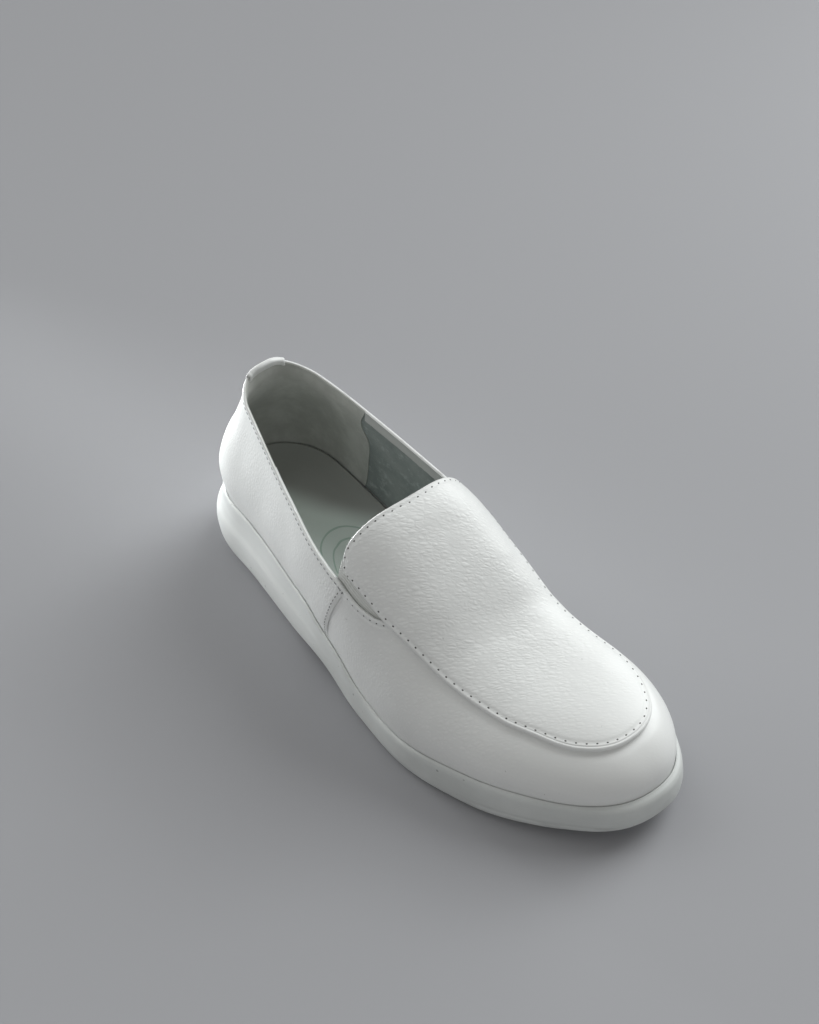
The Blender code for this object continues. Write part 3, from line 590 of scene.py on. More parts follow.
def add_piece(name, points, faces, finish, replaces=(), sharp=55, values=None):
    made = plain_piece(name, points, faces)
    for key, numbers in (values or {}).items():
        mark(made, key, numbers)
    return dress(made, finish, replaces, sharp)


def add_sheet(name, outer, inner, faces, finish, slot, replaces, values=None, sharp=55):
    """Closed sheet between an outer and an inner set of points."""
    first, kept = weld(outer, faces)
    outer, inner = outer[first], inner[first]
    count = len(outer)
    every = list(kept)
    every += [tuple(count + i for i in face[::-1]) for face in kept]
    every += [(b, a, count + a, count + b) for a, b in border(kept)]
    doubled = {key: np.tile(np.asarray(v)[first], 2) for key, v in (values or {}).items()}
    return add_piece(name, np.concatenate([outer, inner]), every, finish, replaces, sharp, doubled)


def reach_along(line):
    """How far along a polyline each of its points lies."""
    return np.concatenate([[0], np.cumsum(np.linalg.norm(np.diff(line, axis=0), axis=1))])


def at_reach(line, reach, at):
    line = np.asarray(line)
    return np.stack([np.interp(at, reach, line[:, k]) for k in range(line.shape[1])], -1)


def dense(line, step=0.0002):
    """Points along a polyline, no further apart than the step."""
    reach = reach_along(line)
    return at_reach(line, reach, np.linspace(0, reach[-1], int(reach[-1] / step) + 2))


def evenly(line, pitch):
    """Points one pitch apart along a polyline, and the direction at each."""
    reach = reach_along(line)
    count = int(reach[-1] / pitch)
    at = (np.arange(count) + 0.5) * reach[-1] / count
    way = at_reach(line, reach, at + pitch / 4) - at_reach(line, reach, at - pitch / 4)
    return at_reach(line, reach, at), unit(way)


def distance_to(points, *lines):
    """Distance from each point to the nearest of the lines."""
    line = np.concatenate([dense(one) for one in lines])
    tree = KDTree(len(line))
    for i, point in enumerate(line):
        tree.insert(point, i)
    tree.balance()
    return np.array([tree.find(point)[2] for point in points])


def folded(distance, drop=EDGE_DROP, radius=EDGE_ROUND):
    """How much a folded edge lies lower, this far from it."""
    left = np.clip(1 - distance / radius, 0, 1)
    return -drop * (1 - np.sqrt(1 - left ** 2))


def groove(distance, middle, width, depth):
    return -depth * np.exp(-((distance - middle) / width) ** 2)


def unit(vectors):
    return vectors / np.linalg.norm(vectors, axis=-1, keepdims=True)


def tree_of(made):
    mesh = made.data
    return BVHTree.FromPolygons([v.co for v in mesh.vertices], [tuple(p.vertices) for p in mesh.polygons])


def beads(places, ways, normals, half_length, radius, height, rings=4, sides=8):
    """Small rounded beads, such as stitches: long along their way, lying on a surface."""
    across = unit(np.cross(normals, ways))
    points = []
    faces = []
    for place, way, side, up in zip(places, ways, across, normals):
        start = len(points)
        for t in pi * np.arange(1, rings) / rings:
            middle = place - way * half_length * cos(t)
            for a in np.arange(sides) * 2 * pi / sides:
                points.append(middle + sin(t) * (side * cos(a) * radius + up * sin(a) * height))
        points += [place - way * half_length, place + way * half_length]
        tail = start + (rings - 1) * sides
        last = tail - sides
        for i in range(sides):
            j = (i + 1) % sides
            for low in range(start, last, sides):
                faces.append((low + i, low + j, low + sides + j, low + sides + i))
            faces += [(start + j, start + i, tail), (last + i, last + j, tail + 1)]
    return np.array(points), faces


# Materials
class Finish:
    """Short way to write a material's nodes."""

    def __init__(self, name, colour, roughness, **sockets):
        self.made = bpy.data.materials.new(name)
        self.made.use_nodes = True
        self.tree = self.made.node_tree
        self.shader = self.tree.nodes["Principled BSDF"]
        self.shader.inputs["Base Color"].default_value = (*colour, 1)
        self.shader.inputs["Roughness"].default_value = roughness
        for socket, value in sockets.items():
            self.shader.inputs[socket.replace("_", " ")].default_value = value
        self.places = self.node("ShaderNodeTexCoord").outputs["Object"]

    def node(self, kind, inputs=None, **settings):
        made = self.tree.nodes.new(kind)
        for key, value in settings.items():
            setattr(made, key, value)
        for key, value in (inputs or {}).items():
            if isinstance(value, bpy.types.NodeSocket):
                self.tree.links.new(value, made.inputs[key])
            else:
                made.inputs[key].default_value = value
        return made

    def drawn_out(self, scale):
        """Places stretched by the scale, in the grain's turned frame."""
        inputs = {"Vector": self.places, "Rotation": (0, 0, radians(GRAIN_TURN)), "Scale": scale}
        return self.node("ShaderNodeMapping", inputs, vector_type="TEXTURE").outputs[0]

    def stretched(self, scale):
        return self.node("ShaderNodeMapping", {"Vector": self.places, "Scale": scale}).outputs[0]

    def noise(self, scale, detail=3.0, rough=0.55, places=None, distortion=0.0):
        inputs = {"Vector": places or self.places, "Scale": scale, "Detail": detail, "Roughness": rough,
                  "Distortion": distortion}
        return self.node("ShaderNodeTexNoise", inputs).outputs[0]

    def maths(self, operation, first, second, clamp=False):
        made = self.node("ShaderNodeMath", {0: first, 1: second}, operation=operation, use_clamp=clamp)
        return made.outputs[0]

    def times(self, first, second, clamp=False):
        return self.maths("MULTIPLY", first, second, clamp)

    def plus(self, first, second):
        return self.maths("ADD", first, second)

    def spread(self, value, low, high, to_low=0.0, to_high=1.0):
        inputs = {"Value": value, "From Min": low, "From Max": high, "To Min": to_low, "To Max": to_high}
        return self.node("ShaderNodeMapRange", inputs, interpolation_type="SMOOTHSTEP").outputs[0]

    def clouds(self, scale, detail=4, to_low=0.0, to_high=1.0):
        return self.spread(self.noise(scale, detail), 0.3, 0.7, to_low, to_high)

    def mix(self, share, first, second):
        """Colour between two colours."""
        inputs = {0: share}
        for key, value in ((6, first), (7, second)):
            inputs[key] = value if isinstance(value, bpy.types.NodeSocket) else (*value, 1)
        return self.node("ShaderNodeMix", inputs, data_type="RGBA").outputs[2]

    def value(self, name):
        return self.node("ShaderNodeAttribute", attribute_name=name).outputs["Fac"]

    def bump(self, height, distance, strength=1.0, under=None):
        inputs = {"Height": height, "Distance": distance, "Strength": strength}
        if under is not None:
            inputs["Normal"] = under
        return self.node("ShaderNodeBump", inputs).outputs[0]

    def set(self, socket, value):
        self.tree.links.new(value, self.shader.inputs[socket])


def leather_finish(name, colour):
    """Coated leather: pebbles and wrinkles drawn out across the shoe, fine pores, painted shade in the
    grain's valleys, faint marks.
    """
    leather = Finish(name, colour, 0.42, Coat_Weight=0.12, Coat_Roughness=0.35)
    bend = leather.node("ShaderNodeTexNoise", {"Vector": leather.places, "Scale": 330.0, "Detail": 2.0})
    bend = leather.node("ShaderNodeVectorMath", {0: bend.outputs["Color"], 1: (0.0014, 0.0014, 0.0014)},
                        operation="MULTIPLY")
    stretched = leather.drawn_out((0.78, 1.90, 1.15))
    places = leather.node("ShaderNodeVectorMath", {0: stretched, 1: bend.outputs[0]})

    def grain_cells(feature):
        inputs = {"Vector": places.outputs[0], "Scale": GRAIN_SCALE}
        return leather.node("ShaderNodeTexVoronoi", inputs, feature=feature).outputs["Distance"]

    domes = leather.maths("SUBTRACT", 1.0, grain_cells("SMOOTH_F1"))
    pebbles = leather.spread(grain_cells("DISTANCE_TO_EDGE"), 0.0, 0.42)
    wrinkles = leather.noise(520, 2, places=leather.drawn_out((0.62, 3.6, 1.2)), distortion=0.4)
    form = leather.plus(leather.times(pebbles, 0.40), leather.times(domes, 0.55))
    form = leather.plus(form, leather.times(wrinkles, 0.80))
    strength = leather.value("pebble")
    patches = leather.spread(leather.noise(70, 3), 0.3, 0.6, 0.4)
    pores = leather.bump(leather.noise(2600, 2), 0.00002, 0.5)
    grain = leather.times(leather.times(form, strength), patches)
    leather.set("Normal", leather.bump(grain, 0.00016, 1.0, pores))
    base = leather.mix(leather.clouds(22), tuple(c * 0.965 for c in colour), colour)
    # painted shade: the base colour greys in the grain's valleys, more where the grain is stronger
    valley = leather.times(leather.maths("SUBTRACT", 1.0, pebbles), strength)
    base = leather.mix(leather.times(valley, 0.12), base, (0.50, 0.52, 0.52))
    speck = leather.spread(leather.noise(310, 1), 0.79, 0.83)
    base = leather.mix(leather.times(speck, 0.35), base, (0.22, 0.22, 0.21))
    leather.set("Base Color", base)
    leather.set("Roughness", leather.clouds(45, 4, 0.36, 0.48))
    return leather.made


def sole_finish():
    """Moulded foam rubber: satin sides with scuffs, painted light making it paler at the heel, stippled
    underneath.
    """
    sole = Finish("white_sole", (0.66, 0.68, 0.67), 0.5)
    under = sole.value("under")
    height = sole.times(sole.noise(1500, 3), sole.plus(sole.times(under, 0.9), 0.1))
    sole.set("Normal", sole.bump(height, 0.00018, 1.0))
    base = sole.mix(sole.spread(sole.noise(30, 4), 0.35, 0.7), (0.60, 0.62, 0.61), (0.68, 0.70, 0.69))
    # painted light: the sole is paler over its back end, where the lamps fall on the heel
    ahead = sole.node("ShaderNodeSeparateXYZ", {0: sole.places}).outputs[0]
    base = sole.mix(sole.spread(ahead, 0.04, 0.16), (0.80, 0.82, 0.81), base)
    smears = sole.spread(sole.noise(160, 5, places=sole.stretched((0.35, 0.35, 1.6))), 0.45, 0.75)
    dirt = sole.times(sole.value("dirt"), smears)
    dirt = sole.times(dirt, sole.spread(under, 0.3, 0.9, 1.0, 0.12))
    base = sole.mix(sole.times(dirt, 0.7, clamp=True), base, (0.20, 0.20, 0.195))
    speck = sole.spread(sole.noise(420, 1), 0.76, 0.80)
    sole.set("Base Color", sole.mix(sole.times(speck, 0.5), base, (0.12, 0.12, 0.12)))
    sole.set("Roughness", sole.clouds(60, 4, 0.42, 0.6))
    return sole.made


def rubber_finish():
    rubber = Finish("blue_rubber", (0.012, 0.085, 0.30), 0.45)
    rubber.set("Base Color", rubber.mix(rubber.clouds(120), (0.009, 0.065, 0.24), (0.016, 0.105, 0.36)))
    rubber.set("Normal", rubber.bump(rubber.noise(1800, 3), 0.00008, 0.7))
    rubber.set("Roughness", rubber.clouds(80, 3, 0.38, 0.55))
    return rubber.made


def lip_finish():
    lip = Finish("grey_lip", (0.36, 0.38, 0.40), 0.5)
    lip.set("Base Color", lip.mix(lip.clouds(90, 3), (0.32, 0.34, 0.36), (0.40, 0.42, 0.44)))
    lip.set("Normal", lip.bump(lip.noise(2000, 2), 0.00005, 0.6))
    return lip.made


def suede_finish(name, dark, light, spots=0.0):
    """Napped lining: clouded, matte, with a short pile's sheen."""
    suede = Finish(name, light, 0.92, Sheen_Weight=0.25, Sheen_Roughness=0.5)
    base = suede.mix(suede.spread(suede.noise(70, 6, 0.65), 0.35, 0.68), dark, light)
    if spots:
        mottle = suede.spread(suede.noise(210, 6, 0.75), 0.50, 0.68)
        base = suede.mix(suede.times(mottle, spots), base, tuple(c * 1.35 for c in light))
    suede.set("Base Color", base)
    suede.set("Normal", suede.bump(suede.noise(2400, 4, 0.7), 0.00022, 0.8))
    return suede.made


def insole_finish():
    """Footbed cover: pale cloth with faint plain rings over its middle, darkened under the heel by painted
    shadow and brightened in front by a painted pool of light.
    """
    cover = Finish("insole_lining", (0.62, 0.68, 0.62), 0.8, Sheen_Weight=0.1)
    location = (-RING_PRINT[0], -RING_PRINT[1], 0)
    inputs = {"Vector": cover.places, "Location": location, "Scale": (1, 1.7, 0)}
    places = cover.node("ShaderNodeMapping", inputs, vector_type="POINT").outputs[0]
    away = cover.node("ShaderNodeVectorMath", {0: places}, operation="LENGTH").outputs["Value"]
    wave = cover.plus(away, cover.times(cover.noise(60, 2), 0.004))
    rings = cover.maths("SINE", cover.times(wave, 2 * pi / 0.0075), 0.5)
    line = cover.times(cover.spread(rings, 0.86, 0.96), cover.spread(away, 0.034, 0.030))
    # the cloth's pale colour is set bright as part of the painted light over the front of the footbed
    base = cover.mix(cover.clouds(40), (0.83, 0.93, 0.87), (0.88, 0.96, 0.91))
    slant = cover.node("ShaderNodeVectorMath", {0: cover.places, 1: (1.0, -2.0, 0.0)},
                       operation="DOT_PRODUCT").outputs["Value"]
    wander = cover.plus(slant, cover.times(cover.noise(25, 2), 0.02))
    # painted shadow over the back of the footbed and painted light in front, split along a slanted,
    # wandering line
    base = cover.mix(cover.spread(wander, PAINTED_SHADOW_END, PAINTED_LIGHT_START), (0.41, 0.42, 0.40), base)
    base = cover.mix(cover.times(line, 0.45), base, (0.20, 0.42, 0.30))
    cover.set("Base Color", base)
    cover.set("Normal", cover.bump(cover.noise(1700, 3, 0.6), 0.0001, 0.6))
    return cover.made


def elastic_finish():
    """Webbing: fine ribs that run along the gore."""
    elastic = Finish("white_elastic", (0.70, 0.72, 0.70), 0.7, Sheen_Weight=0.15)
    inputs = {"Vector": elastic.stretched((0.18, 1.0, 1.0)), "Scale": 420.0, "Distortion": 0.6,
              "Detail": 1.0}
    ribs = elastic.node("ShaderNodeTexWave", inputs, bands_direction="DIAGONAL").outputs["Fac"]
    elastic.set("Normal", elastic.bump(ribs, 0.00004, 0.8))
    elastic.set("Base Color", elastic.mix(ribs, (0.66, 0.68, 0.66), (0.72, 0.73, 0.71)))
    return elastic.made


def speckled_finish(name, colour, roughness, scale, detail, dark, light):
    made = Finish(name, colour, roughness)
    made.set("Base Color", made.mix(made.noise(scale, detail), dark, light))
    return made.made


# Upper
def skin(turn, rise):
    """Point on the upper's face and the direction out of it."""
    return upper_point(turn, rise), outward(turn, np.clip(rise, 0.02, 0.98))


def seam_share(share):
    """Where the quarter's front edge lies, this share of the way up the wall."""
    return SEAM_SHARE + SEAM_SLANT_SHARE * (1 - share)


def wall_top(along, lateral):
    """Rise of the wall's upper edge: collar, then the edge over the gore, then the apron's edge."""
    turn = turns_at(along, lateral)
    collar = rise_at_height(turn, collar_height(turn))
    neck_turn = turns_at(np.full_like(along, NECK_SHARE), lateral)
    neck = rise_at_height(neck_turn, collar_height(neck_turn))
    sag = GORE_DIP * np.sin(pi * ramp(along, NECK_SHARE, TIP_SHARE)) ** 1.5
    front = neck + (apron_rise(along, lateral) - neck) * quarter_edge(along)
    return np.where(along <= NECK_SHARE, collar, front - sag)


def graded(count, power=0.6):
    """Shares from 0 to 1, closer together near 1."""
    return 1 - (1 - np.linspace(0, 1, count)) ** (1 / power)


def quarter_place(side, share):
    """Turn and rise on the quarters; side runs from -1 at the medial seam to 1 at the lateral one."""
    side, share = np.broadcast_arrays(side, share)
    lateral = side >= 0
    turn = np.abs(side) * turn_of(seam_share(share))
    top = wall_top(along_of(np.abs(side) * turn_of(SEAM_SHARE)), lateral)
    return np.where(lateral, turn, 2 * pi - turn), share * top


def vamp_place(side, share):
    """Turn and rise on the vamp; side is -1 at the lateral seam, 0 at the toe and 1 at the medial seam."""
    side, share = np.broadcast_arrays(side, share)
    lateral = side < 0
    lap = SEAM_LAP / SOLE_LENGTH
    turn = pi - (pi - turn_of(seam_share(share) - lap)) * np.abs(side)
    along = along_of(pi - (pi - turn_of(SEAM_SHARE - lap)) * np.abs(side))
    top = wall_top(along, lateral) + APRON_LAP_RISE * ease(along, *APRON_LAP_SHARES)
    top = top - SEAM_DROP * ease(along, SEAM_SHARE, SEAM_SHARE - lap)
    return np.where(lateral, turn, 2 * pi - turn), share * top


def wall_bottom(points, turn, share):
    """The lowest row goes straight down into the sole's cup."""
    x, y, _, _ = outline(turn, -lip_inset(along_of(turn)))
    down = np.stack([x, y, sole_top(along_of(turn)) - CUP_DEPTH + FIT_GAP], -1)
    return np.where((share == 0)[..., None], down, points)


def collar_line(count=900):
    turn, rise = quarter_place(np.linspace(-1, 1, count), 1.0)
    return upper_point(turn, rise)


def pebble_of(points):
    """How strongly the grain shows: most from throat to ball, little at the toe."""
    along = points[:, 0] / SOLE_LENGTH
    return 0.22 + 0.78 * ease(along, 0.94, 0.74) * (0.55 + 0.45 * ease(along, 0.40, 0.52))


def make_quarter(finish):
    """Both quarters in one piece round the heel, over the vamp at the seams."""
    side, share = np.meshgrid(np.linspace(-1, 1, QUARTER_COLUMNS), graded(WALL_STEPS))
    turn, rise = quarter_place(side, share)
    base, normal = skin(turn, rise)
    base = wall_bottom(base, turn, share).reshape(-1, 3)
    normal = normal.reshape(-1, 3)
    shares = np.linspace(0, 1, 300)
    seams = [skin(*quarter_place(np.full(300, s), shares))[0] for s in (-1.0, 1.0)]
    from_seam = distance_to(base, *seams)
    from_collar = distance_to(base, collar_line())
    climb = np.clip(rise.reshape(-1) * 6, 0, 1)
    step = QUARTER_STEP * climb
    detail = folded(np.minimum(from_seam, from_collar)) + groove(from_collar, *COLLAR_GROOVE)
    detail = detail + groove(from_seam, *SEAM_GROOVE) + groove(from_collar, *COLLAR_BEAD)
    x, z = base[:, 0], base[:, 2]
    wave = QUARTER_WAVE * np.sin(x * 190 + z * 120) * np.sin(z * 210 - x * 60)
    detail = detail + wave * ease(from_collar, 0.003, 0.015)
    outer = base + normal * (step + detail * climb)[:, None]
    lapped = np.where(from_seam < SEAM_LAP + 0.001, QUARTER_STEP - LAPPED_GAP, LEATHER)
    depth = lapped * climb + LEATHER * (1 - climb)
    depth = depth - (depth - LEATHER_AT_COLLAR) * ease(from_collar, COLLAR_THIN_REACH, 0.0)
    inner = base + normal * (step - depth)[:, None]
    faces = grid_faces(WALL_STEPS, QUARTER_COLUMNS)
    return add_sheet("quarter", outer, inner, faces, finish, "white_leather", ["upper"],
                     {"pebble": pebble_of(base)})


def both_sides(shares, rise):
    """Two lines on the upper's face at the same height function, on the outer and the inner side."""
    lines = []
    for lateral in (True, False):
        sides = np.full(len(shares), lateral)
        lines.append(upper_point(turns_at(shares, sides), rise(shares, sides)))
    return lines


def make_vamp(finish):
    """Front of the wall, from the seams round the toe, lapped under the quarter and the apron."""
    side, share = np.meshgrid(np.linspace(-1, 1, VAMP_COLUMNS), graded(WALL_STEPS))
    turn, rise = vamp_place(side, share)
    base, normal = skin(turn, rise)
    base = wall_bottom(base, turn, share).reshape(-1, 3)
    normal = normal.reshape(-1, 3)
    along = along_of(turn)
    from_notch = distance_to(base, *both_sides(np.linspace(SEAM_SHARE, TIP_SHARE, 260), wall_top))
    front = along_of(np.linspace(turn_of(TIP_SHARE), pi, 900))
    from_apron = distance_to(base, *both_sides(front, apron_rise))
    below = (rise < apron_rise(along, turn < pi)).reshape(-1)
    ahead = ease(along.reshape(-1), TIP_SHARE, TIP_SHARE + 0.03)
    valley = groove(from_apron, *APRON_VALLEY) * np.where(below, 1, 0.4) * ahead
    detail = folded(from_notch) + valley + groove(from_notch, *WING_GROOVE)
    lift = WING_LIFT * ease(from_notch, WING_LIFT_REACH, 0.0)
    outer = base + normal * (detail + lift)[:, None]
    inner = base + normal * (lift - LEATHER)[:, None]
    faces = grid_faces(WALL_STEPS, VAMP_COLUMNS)
    return add_sheet("vamp", outer, inner, faces, finish, "white_leather", ["upper"],
                     {"pebble": pebble_of(base) * VAMP_PEBBLE})


def apron_place(along, lateral, share):
    """Point and direction on the apron; share is 0 at its edge and 1 on the ridge."""
    fade = notch_fade(along)
    edge = apron_rise(along, lateral) + APRON_CLEAR * fade
    corner = 1 - np.sqrt(1 - ramp(share, CORNER_SHARE, 0) ** 2)
    shift = (THROAT_SHARE - NECK_SHARE) * share + APRON_CORNER * corner / SOLE_LENGTH
    return skin(turns_at(along + shift * fade, lateral), edge + (1 - edge) * share)


def apron_edge(lateral, inward=0.0):
    """Points and directions on a side of the apron's edge, or inside it: ridge, throat, toe."""
    back, front = 240, 1500
    along = np.concatenate([np.full(back, NECK_SHARE + inward),
                            along_of(np.linspace(turn_of(NECK_SHARE), pi, front))])
    share = np.concatenate([np.linspace(1, 0, back), np.full(front, inward)])
    return apron_place(along, np.full(back + front, lateral), share)


def crease_depth(points):
    """Soft troughs with low ridges beside them, at the places listed in the table."""
    depth = np.zeros(len(points))
    for crease in CREASES:
        middle = centre(crease.along) + crease.side * half_width(crease.along) * 0.5
        across = points[:, 1] - middle
        along = points[:, 0] - crease.along * SOLE_LENGTH - crease.slant * across
        fade = np.exp(-(across / crease.reach) ** 2)
        trough = np.exp(-(along / crease.width) ** 2)
        ridge = np.exp(-((np.abs(along) - 1.9 * crease.width) / crease.width) ** 2)
        depth += crease.depth * (0.5 * ridge - trough) * fade
    return depth


def hole_inset(points):
    """How far inside the apron's edge its stitch holes lie."""
    along = points[..., 0] / SOLE_LENGTH
    beside = notch_fade(along) * ease(points[..., 2], 0.088, 0.078)
    return HOLE_INSET + (TOE_HOLE_INSET - HOLE_INSET) * ease(along, 0.78, 0.92) - GORE_HOLE_LESS * beside


def smooth_ridge(base, normal, rows, times=60):
    """Eases the two halves of a grid into each other over the ridge, and gives them shared normals."""
    half = base.shape[1] // 2
    count = len(rows)

    def joined(grid):
        return np.concatenate([grid[:, :half + 1], grid[::-1, ::-1][1:, :half + 1]])

    strip = joined(base)
    ways = joined(normal)
    share = np.concatenate([rows, rows[::-1][1:]])
    part = ease(share, 0.55, 0.9)[:, None, None]
    for _ in range(times):
        middle = (strip[:-2] + strip[2:]) / 2
        strip[1:-1] += (middle - strip[1:-1]) * 0.5 * part[1:-1]
        middle = (ways[:-2] + ways[2:]) / 2
        ways[1:-1] += (middle - ways[1:-1]) * 0.5 * part[1:-1]
    ways = unit(ways)
    base = base.copy()
    normal = normal.copy()
    for grid, line in ((base, strip), (normal, ways)):
        grid[:, :half + 1] = line[:count]
        grid[:, half:] = line[count - 1:][::-1, ::-1]
    return base.reshape(-1, 3), normal.reshape(-1, 3)


def make_apron(finish):
    """Raised plug over the vamp: double rounded rim, sunk row of stitch holes, soft creases."""
    near = np.arange(0, 0.0052, FINE_STEP) / SOLE_LENGTH
    start = NECK_SHARE + near[-1] + 0.0016 / SOLE_LENGTH
    rest = along_of(np.linspace(turn_of(start), pi, APRON_COLUMNS))
    shares = np.concatenate([NECK_SHARE + near, rest])
    along = np.concatenate([shares, shares[-2::-1]])
    lateral = np.arange(len(along)) < len(shares)
    coarse = np.arange(0.0048, APRON_GIRTH - 0.0006, 0.00085)
    rows = np.concatenate([np.arange(0, 0.0044, FINE_STEP), coarse]) / APRON_GIRTH
    rows = np.concatenate([rows, [1.0]])
    grid_along, grid_share = np.meshgrid(along, rows)
    sides = np.broadcast_to(lateral, grid_along.shape)
    base, normal = apron_place(grid_along, sides, grid_share)
    base, normal = smooth_ridge(base, normal, rows)
    away = distance_to(base, np.concatenate([apron_edge(True)[0], apron_edge(False)[0][::-1]]))
    places = base[:, 0] / SOLE_LENGTH
    detail = folded(away, APRON_DROP, APRON_ROUNDING)
    detail = detail + groove(away, *APRON_RIM) * ease(places, 0.72, 0.88)
    detail = detail + groove(away, hole_inset(base), HOLE_WIDTH, HOLE_SINK)
    detail = detail + crease_depth(base) * ease(away, 0.003, 0.009)
    body = APRON_THICKNESS + FIT_GAP - APRON_THIN * notch_fade(places)
    outer = base + normal * (body + detail)[:, None]
    inner = base + normal * APRON_LIFT
    faces = grid_faces(len(rows), len(along))
    return add_sheet("apron_plug", outer, inner, faces, finish, "white_leather", ["apron"],
                     {"pebble": pebble_of(base)})


def apron_hole_line():
    """Line on the apron inside its edge, from the lateral throat round the toe to the medial throat."""
    sides = []
    for lateral in (True, False):
        edge, lift = apron_edge(lateral)
        way = unit(np.gradient(edge, axis=0) + 1e-12)
        inward = apron_edge(lateral, 0.02)[0] - edge
        inward = unit(inward - way * np.sum(inward * way, axis=1, keepdims=True))
        line = edge + inward * hole_inset(edge)[:, None] + lift * (APRON_THICKNESS + 0.001)
        both = np.stack([edge, line])
        sides.append(both if lateral else both[:, ::-1])
    edge, line = np.concatenate(sides, axis=1)
    apart = np.linalg.norm(np.diff(edge, axis=0, prepend=edge[:1] - 1), axis=1) > 1e-6
    return line[apart]


def row_on(tree, line, pitch):
    """Evenly spaced places of a line, put on a surface, with their directions and normals."""
    places, ways = evenly(line, pitch)
    found = [tree.find_nearest(Vector(place)) for place in places]
    return np.array([f[0] for f in found]), ways, np.array([f[1] for f in found])


def climb_rate(turn, rise, step=0.01):
    """Metres up the upper's face for a rise of 1, just under this rise."""
    return np.linalg.norm(upper_point(turn, rise) - upper_point(turn, rise - step), axis=1) / step


def under_collar(inset, count=700):
    """Line on the quarters at a distance under the collar's edge."""
    turn, rise = quarter_place(np.linspace(-1.0, 1.0, count), 1.0)
    point, normal = skin(turn, rise - inset / climb_rate(turn, rise))
    return point + normal * QUARTER_STEP


def beside_seam(lateral, inset, count=300):
    """Line on a quarter at a distance behind its front edge."""
    share = np.linspace(0.06, 0.985, count)
    side = (1.0 if lateral else -1.0) * (1 - inset / (turn_of(SEAM_SHARE) * SOLE_LENGTH / 2))
    point, normal = skin(*quarter_place(np.full(count, side), share))
    return point + normal * QUARTER_STEP


def make_stitches(apron, quarter, vamp, hole_shade, thread):
    # the near-black hole beads are painted shade for the stitch holes, which are not cut
    apron_row = row_on(tree_of(apron), apron_hole_line(), APRON_HOLE_PITCH)
    points, faces = beads(*apron_row, HOLE_RADIUS * 1.3, HOLE_RADIUS, 0.00012)
    add_piece("apron_stitch_holes", points, faces, hole_shade)
    quarter_tree = tree_of(quarter)
    vamp_tree = tree_of(vamp)
    collar = row_on(quarter_tree, under_collar(COLLAR_STITCH_INSET), COLLAR_STITCH_PITCH)
    points, faces = beads(*collar, COLLAR_STITCH_PITCH * 0.33, 0.00032, 0.00026)
    add_piece("collar_stitches", points, faces, thread)
    holes = []
    for lateral in (True, False):
        seam = row_on(quarter_tree, beside_seam(lateral, SEAM_STITCH_INSET), COLLAR_STITCH_PITCH)
        holes.append(beads(*seam, COLLAR_STITCH_PITCH * 0.30, 0.00020, 0.00010, 4, 6))
        shares = np.linspace(SEAM_SHARE - 0.012, TIP_SHARE + 0.006, 300)
        sides = np.full(300, lateral)
        top = np.where(shares > TIP_SHARE, apron_rise(shares, sides), wall_top(shares, sides))
        point, normal = skin(turns_at(shares, sides), top - WING_STITCH_INSET / SIDE_RATE)
        line = point + normal * 0.002
        wing = row_on(vamp_tree, line, WING_STITCH_PITCH)
        shown = wing[0][:, 0] / SOLE_LENGTH >= SEAM_SHARE + 0.002
        front = row_on(quarter_tree, line[shares < SEAM_SHARE], WING_STITCH_PITCH)
        for row in ([part[shown] for part in wing], front):
            holes.append(beads(*row, HOLE_RADIUS * 1.2, HOLE_RADIUS, 0.0001))
    points = []
    faces = []
    for part_points, part_faces in holes:
        start = len(points)
        points.extend(part_points)
        faces.extend(tuple(start + i for i in face) for face in part_faces)
    add_piece("seam_holes", points, faces, hole_shade)


def make_gore(name, lateral, finish):
    """Elastic webbing between quarter and apron, in shallow ribs."""
    columns, rows = 90, 40
    shares = np.linspace(NECK_SHARE + 0.002, TIP_SHARE - 0.004, columns)
    grid_along, grid_share = np.meshgrid(shares, np.linspace(0, 1, rows))
    sides = np.full(grid_along.shape, lateral)
    low = wall_top(shares, sides[0]) - 0.03
    behind = ease(shares, NECK_SHARE, NECK_SHARE + 0.02)
    high = apron_rise(shares, sides[0]) + 0.07 * notch_fade(shares) * behind + 0.02
    rise = low + (high + APRON_CLEAR * notch_fade(shares) - low) * grid_share
    base, normal = skin(turns_at(grid_along, sides), rise)
    ribs = 0.00004 * np.sin(grid_share * 2 * pi * 11)
    back = grid_along * SOLE_LENGTH - shares[0] * SOLE_LENGTH
    depth = -GORE_SUNK - GORE_DEEPER + ribs + folded(back, 0.0004, 0.0006)
    outer = (base + normal * depth[..., None]).reshape(-1, 3)
    inner = (base - normal * (GORE_SUNK + GORE_DEEPER + GORE_THICKNESS * 0.7)).reshape(-1, 3)
    faces = grid_faces(rows, columns)
    if not lateral:
        faces = [face[::-1] for face in faces]
    return add_sheet(name + "_webbing", outer, inner, faces, finish, "white_elastic", [name])


def lining_sheet(start, end, high, thickness=LINING, columns=200, rows=40):
    """Sheet inside the quarters; start and end give side numbers, high a share of the wall's height."""
    grid_u, grid_s = np.meshgrid(np.linspace(0, 1, columns), np.linspace(0, 1, rows))
    share = high * grid_s
    side = start(share) + (end(share) - start(share)) * grid_u
    turn, rise = quarter_place(side, share)
    base, normal = skin(turn, rise)
    base = base.reshape(-1, 3)
    normal = normal.reshape(-1, 3)
    below = (quarter_place(side, 1.0)[1] - rise).reshape(-1) * SIDE_RATE
    thin = ease(below, COLLAR_THIN_REACH, 0.0)
    outer = base - normal * (LINING_DEPTH * (1 - thin))[:, None]
    inner = base - normal * (LINING_DEPTH + thickness - COLLAR_THIN * thin)[:, None]
    return outer, inner, grid_faces(rows, columns)


def counter_side(share):
    """Side number of the heel lining's front edge."""
    return turn_of(curve(COUNTER, {"along": 1.0}, "share")(share)) / turn_of(seam_share(share))


